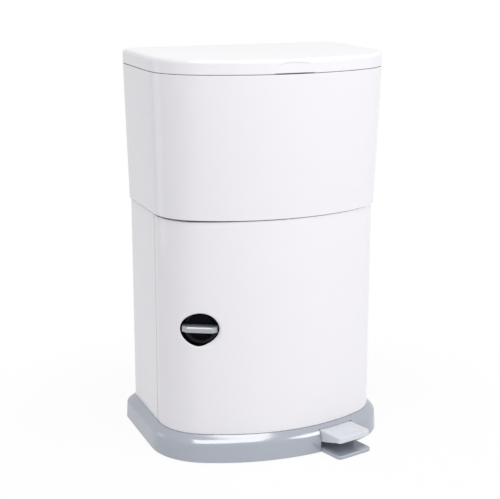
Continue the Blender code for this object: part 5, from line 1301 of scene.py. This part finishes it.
# %% Hinge knuckles
HINGE_Y = 0.2224 + SHIFT_Y
HINGE_RISE = 0.0026  # above the rim
HINGE_Z = RIM_Z + HINGE_RISE
KNUCKLE = 0.0055
KNUCKLE_EDGE = 0.0003
WEB_FRONT = 0.0070  # from the pin's axis forwards to the wall
WEB_DROP = 0.018  # foot of the shell's web below the axis
LID_WEB_BACK = 0.0026
LID_WEB_TOP = 0.0105
SHELL_KNUCKLES = ((0.060, 0.072), (0.098, 0.110))  # from the middle, on each side
LID_KNUCKLE = (0.0725, 0.0975)


def knuckle_round(first, last):
    """Points on the knuckle's round end: pin's axis + radius (cos a, sin a)."""
    a = np.linspace(first, last, 25)
    return np.column_stack([HINGE_Y + KNUCKLE * np.cos(a), HINGE_Z + KNUCKLE * np.sin(a)])


def knuckle(name, web, reach, side, body):
    """A knuckle from its web's outline and its reach along x on one side."""
    low, high = sorted((side * reach[0], side * reach[1]))
    bore = ((HINGE_Y, HINGE_Z), PIN_BORE)
    piece = extruded(name, web, low, high, ALONG_X, KNUCKLE_EDGE, bore)
    return dress(piece, body, WHITE_SHELL, "white_shell")


wall_y = HINGE_Y - WEB_FRONT
back_y = HINGE_Y + KNUCKLE - SEAT
shell_foot = [(wall_y, HINGE_Z - WEB_DROP), (back_y, HINGE_Z - KNUCKLE)]
shell_web = np.concatenate([shell_foot, knuckle_round(0, np.pi), [(wall_y, RIM_Z - SEAT)]])
lid_head = [(back_y, HINGE_Z + SEAT), (HINGE_Y + LID_WEB_BACK, HINGE_Z + KNUCKLE)]
lid_head += [(wall_y, HINGE_Z + LID_WEB_TOP), (wall_y, HINGE_Z + SEAT)]
lid_web = np.concatenate([lid_head, knuckle_round(np.pi, 2 * np.pi)])
for side, tag in ((-1, "left"), (1, "right")):
    for number, reach in enumerate(SHELL_KNUCKLES, 1):
        knuckle(f"shell_knuckle_{tag}_{number}", shell_web, reach, side, "stand")
    knuckle(f"lid_knuckle_{tag}", lid_web, LID_KNUCKLE, side, "lid")

# %% [markdown]
# ## Lid
# The lid's section goes from the middle of its inner roof, down the inner wall, round the foot and
# up the outer wall, over the rolled edge to the middle of the top. The finger notch is pressed
# into the front: points inside the arch move back to a flat plane, and the move fades out over
# about a millimetre and a half on each side of the arch's edge.

# %% Lid section
LID_ROLL = 0.0075  # radius of the rolled top edge
LIP_RISE = 0.0013  # the drip lip's foot above the rim
LIP_THICK = 0.0009
FLAT_ROWS = (0.012, 0.030)  # rows on the flat roof inside
TOP_ROWS = (0.0095, 0.030)  # rows on the flat top
LID_SHARES = np.concatenate([np.linspace(0, 0.27, 76), np.linspace(0.27, 1, 30)[1:]])
lip_z = RIM_Z + LIP_RISE
roof = TOP_Z - WALL
wall_top = TOP_Z - LID_ROLL
section = [(depth, roof) for depth in reversed(FLAT_ROWS)]
for inward, up in rolled(LID_ROLL - WALL, np.pi / 2, 0, 6):
    section.append((WALL + inward, wall_top + up))
section += [(WALL, z) for z in np.linspace(wall_top, LID_FOOT_Z + 0.0008, 30)[1:]]
section += [(WALL - 0.0002, LID_FOOT_Z + 0.0002), (WALL - 0.0007, LID_FOOT_Z)]
inner_count = len(section) - 1
section += [(LIP_THICK + 0.0001, LID_FOOT_Z), (LIP_THICK, LID_FOOT_Z - 0.0002)]
section += [(LIP_THICK, lip_z + 0.0002), (LIP_THICK - 0.0002, lip_z)]
section += [(0.0002, lip_z), (0, lip_z + 0.0002)]
section += [(0, z) for z in np.linspace(lip_z + 0.0007, wall_top, 35)]
for inward, up in rolled(LID_ROLL, 0, np.pi / 2, 19)[1:]:
    section.append((inward, wall_top + up))
section += [(depth, TOP_Z) for depth in TOP_ROWS]
rows = np.array([ring(shrunk(RIM, depth), z, LID_SHARES) for depth, z in section])
print("lid section:", len(section), "rows of", rows.shape[1], "points")

# %% Finger notch
NOTCH_WIDTH, NOTCH_HEIGHT = 0.072, 0.018
NOTCH_DEPTH = 0.0012
NOTCH_LEAN = 0.0003  # how much deeper it is at its top
NOTCH_WALL = 0.0032  # from the notch's flat to the lid's inner face
NOTCH_EDGE = 0.0014
INNER_ARCH = (0.041, 0.0205)  # half width and height of the bulge inside
ARCH_POWER = 2 / 0.7  # sets how fast the arch's sides lean in


def notch_plane(z):
    """Depth y of the notch's flat: behind the lid's front by a depth that grows with height."""
    share = np.clip((z - LID_FOOT_Z) / NOTCH_HEIGHT, 0, 1)
    return -RIM[1] + SHIFT_Y + NOTCH_DEPTH + NOTCH_LEAN * share


def arch_mask(x, z, half_width, height):
    """1 inside the arch, 0 outside. Inside: e = (x / a)^2 + (h / b)^power is below 1.
    Its distance to the edge is near (1 - e) / |gradient of e|, and the mask is smooth over it."""
    h = np.maximum(z - LID_FOOT_Z, 0)
    e = (x / half_width) ** 2 + (h / height) ** ARCH_POWER
    slope_x = 2 * x / half_width**2
    slope_z = ARCH_POWER * h ** (ARCH_POWER - 1) / height**ARCH_POWER
    distance = (1 - e) / np.maximum(np.hypot(slope_x, slope_z), 1.0)
    return smooth_step(np.clip(distance / (2 * NOTCH_EDGE) + 0.5, 0, 1))


x, y, z = rows[..., 0], rows[..., 1], rows[..., 2]
at_front = y < SHIFT_Y
outside = (np.arange(len(rows)) > inner_count)[:, None]
outer_mask = arch_mask(x, z, NOTCH_WIDTH / 2, NOTCH_HEIGHT) * at_front
inner_mask = arch_mask(x, z, *INNER_ARCH) * at_front
target = notch_plane(z) + np.where(outside, 0, NOTCH_WALL)
mask = np.where(outside, outer_mask, inner_mask)
rows[..., 1] += mask * np.maximum(target - y, 0)
rows[..., 2] += np.where(outside, outer_mask, 0) * np.maximum(LID_FOOT_Z - z, 0)
dress(sweep("lid_skin", rows, poles=True), "lid", WHITE_SHELL, "white_shell", "lid_shell")

# %% [markdown]
# A soft grey seal runs under the lid's foot, and one sees it as the grey line above the rim. It
# is a small rectangle carried round the rim's plan. At the notch it steps back, as the lid's foot
# does there.

# %% Lid seal
SEAL_INSET, SEAL_INNER = 0.0012, 0.0042
SEAL_EDGE = 0.0003
SEAL_BACK = 0.0036  # how far it steps back at the notch
BACK_FULL, BACK_FALL = 1.5, 2.5  # share of the step = full - fall * |x| / notch width
low, high = RIM_Z + SEAT, RIM_Z + SEAL_ROOM - SEAT
corners = [(SEAL_INSET, low), (SEAL_INSET, high), (SEAL_INNER, high), (SEAL_INNER, low)]
section = soften(corners, SEAL_EDGE)
rows = np.array([ring(shrunk(RIM, depth), z, LID_SHARES) for depth, z in section])
reach = np.clip(BACK_FULL - np.abs(rows[..., 0]) / NOTCH_WIDTH * BACK_FALL, 0, 1)
rows[..., 1] += smooth_step(reach * (rows[..., 1] < SHIFT_Y)) * SEAL_BACK
seal = sweep("lid_seal", rows, closed_rows=True)
dress(seal, "lid", SEAL_GREY, "seal_rubber", "lid_gasket")

# %% [markdown]
# ## The works
# The rods, pins, brackets, flaps and rubbers inside keep their solids, since their shapes are
# plain. They get finishes only, and each steel piece has its fine lines along one axis. The
# pedal's lever is nearly black, a painted shade that keeps the space under the pedal dark.

# %% Finishes of the works
WORKS = {
    STEEL_Z: ["push_rod", "door_pin_foot", "door_pin_top", "lid_crank", "latch_tongue", "latch_keeper"],
    LEVER_SHADE_STEEL: ["pedal_lever"],
    STEEL_Y: ["lift_bar", "flap_crank_front", "flap_crank_rear", "latch_screw"],
    STEEL_X: ["pedal_axle", "hinge_pin_left", "hinge_pin_right"],
    RUBBER: ["foot_1", "foot_2", "foot_3", "foot_4", "flap_seal_front", "flap_seal_rear"],
    INNER_GREY: ["collar", "flap_front", "flap_rear"],
    CASSETTE_DARK: ["liner_cassette", "rod_yoke"],
    WHITE_INNER: ["rod_cover", "lid_lining"],
}
for finish, names in WORKS.items():
    for name in names:
        solid = bpy.data.objects[name]
        solid.data.materials.clear()
        solid.data.materials.append(finish)
print("solids finished:", sum(len(names) for names in WORKS.values()))

# %% [markdown]
# ## Studio
# The bin stands on a large pale floor in a white surround. The floor must catch the bin's shadow
# and still end in pure white. So it is mostly a plain glow of strength 1, and near the bin a small
# share of matt paint shows through, which carries the shadow and fades to nothing further out.
# Only rays from the camera see the glow, also those that a surface mirrors or lets through. The
# bin can mirror the glow, but gets no diffuse light from it.

# %% Floor
FLOOR_HALF = 9
FLOOR_DROP = 0.0002  # below the feet
FLOOR_TONES = (0.90, 0.94)
FADE_RADII = (0.30, 0.75)  # from the bin's middle
LEAST_GLOW = 0.92  # share of the glow inside the smaller radius


def seen_by_eye(tree):
    """1 for rays from the camera, also where they were mirrored or went through glass."""
    seen = tree.nodes.new("ShaderNodeLightPath")
    total = seen.outputs["Is Camera Ray"]
    for label in ("Is Glossy Ray", "Is Transmission Ray"):
        add = tree.nodes.new("ShaderNodeMath")
        add.operation = "ADD"
        add.use_clamp = True
        tree.links.new(total, add.inputs[0])
        tree.links.new(seen.outputs[label], add.inputs[1])
        total = add.outputs[0]
    return total


floor_corners = [(x, y, 0) for x, y in rectangle(-FLOOR_HALF, FLOOR_HALF, -FLOOR_HALF, FLOOR_HALF)]
floor = finished("studio_floor", floor_corners, [[0, 1, 2, 3]])
floor.location.z = -FLOOR_DROP
paint = bpy.data.materials.new("pale studio floor")
paint.use_nodes = True
tree = paint.node_tree
matt = tree.nodes["Principled BSDF"]
matt.inputs["Roughness"].default_value = 0.9
where = tree.nodes.new("ShaderNodeTexCoord")
speck = tree.nodes.new("ShaderNodeTexNoise")
speck.inputs["Scale"].default_value = 3.0
tree.links.new(where.outputs["Object"], speck.inputs["Vector"])
tint = tree.nodes.new("ShaderNodeMapRange")
tint.inputs["To Min"].default_value, tint.inputs["To Max"].default_value = FLOOR_TONES
tree.links.new(speck.outputs["Fac"], tint.inputs["Value"])
tree.links.new(tint.outputs["Result"], matt.inputs["Base Color"])
away = tree.nodes.new("ShaderNodeVectorMath")
away.operation = "LENGTH"
tree.links.new(where.outputs["Object"], away.inputs[0])
fade = tree.nodes.new("ShaderNodeMapRange")
fade.interpolation_type = "SMOOTHSTEP"
fade.inputs["From Min"].default_value, fade.inputs["From Max"].default_value = FADE_RADII
fade.inputs["To Min"].default_value = LEAST_GLOW
tree.links.new(away.outputs["Value"], fade.inputs["Value"])
part = tree.nodes.new("ShaderNodeMath")
part.operation = "MULTIPLY"
tree.links.new(seen_by_eye(tree), part.inputs[0])
tree.links.new(fade.outputs["Result"], part.inputs[1])
glow = tree.nodes.new("ShaderNodeEmission")
glow.inputs["Strength"].default_value = 1.0
join = tree.nodes.new("ShaderNodeMixShader")
tree.links.new(part.outputs[0], join.inputs["Fac"])
tree.links.new(matt.outputs["BSDF"], join.inputs[1])
tree.links.new(glow.outputs["Emission"], join.inputs[2])
tree.links.new(join.outputs["Shader"], tree.nodes["Material Output"].inputs["Surface"])
floor.data.materials.append(paint)
print("floor ready,", 2 * FLOOR_HALF, "m wide")

# %% Surround
world = bpy.data.worlds.new("studio")
bpy.context.scene.world = world
world.use_nodes = True
tree = world.node_tree
soft = tree.nodes["Background"]
soft.inputs["Color"].default_value = (0.955, 0.942, 1.0, 1)
soft.inputs["Strength"].default_value = 0.50
plain = tree.nodes.new("ShaderNodeBackground")
plain.inputs["Color"].default_value = (1, 1, 1, 1)
plain.inputs["Strength"].default_value = 1.0
join = tree.nodes.new("ShaderNodeMixShader")
tree.links.new(seen_by_eye(tree), join.inputs["Fac"])
tree.links.new(soft.outputs["Background"], join.inputs[1])
tree.links.new(plain.outputs["Background"], join.inputs[2])
tree.links.new(join.outputs["Shader"], tree.nodes["World Output"].inputs["Surface"])
print("surround ready")

# %% [markdown]
# The photograph's shading is soft, brighter on the right of the front than on the left side. So
# there are four softboxes: the brightest stands high at the front right, another hangs above the
# front, and two weak ones light the left side.

# %% Lamps
AIM = Vector((0, 0, 0.35))  # the middle of the bin


def softbox(name, place, size, power, colour=(1, 1, 1)):
    """An area lamp that faces the middle of the bin."""
    lamp = bpy.data.lights.new(name, "AREA")
    lamp.shape = "RECTANGLE"
    lamp.size, lamp.size_y = size
    lamp.energy = power
    lamp.color = colour
    lamp_object = bpy.data.objects.new(name, lamp)
    lamp_object.location = place
    lamp_object.rotation_euler = (AIM - Vector(place)).to_track_quat("-Z", "Y").to_euler()
    bpy.context.scene.collection.objects.link(lamp_object)


softbox("key", place=(2.0, -2.1, 1.7), size=(1.6, 1.6), power=32)
softbox("overhead", place=(-0.5, -1.15, 2.4), size=(2.1, 1.2), power=28)
softbox("left_fill", place=(-2.4, -0.9, 1.2), size=(1.4, 1.8), power=0.4, colour=(0.95, 0.97, 1.0))
softbox("left_card", place=(-1.35, 0.85, 0.42), size=(0.5, 0.8), power=0.7)
print("lamps ready:", len(bpy.data.lights))

# %% [markdown]
# The camera stands to the left of the bin, a little above its lid, and looks down at it through
# a long lens, which keeps the upright edges nearly parallel as in the photograph.

# %% Camera
YAW, PITCH = math.radians(21.165), math.radians(13.794)
scene = bpy.context.scene
lens = bpy.data.cameras.new("camera")
lens.lens = 90.76
lens.sensor_width = 36
lens.shift_x = 0.00148
camera = bpy.data.objects.new("camera", lens)
camera.location = (-0.8303, -2.0779, 0.9014)
gaze = Vector((math.sin(YAW) * math.cos(PITCH), math.cos(YAW) * math.cos(PITCH), -math.sin(PITCH)))
camera.rotation_euler = gaze.to_track_quat("-Z", "Y").to_euler()
scene.collection.objects.link(camera)
scene.camera = camera
scene.view_settings.view_transform = "Standard"
print("camera ready")
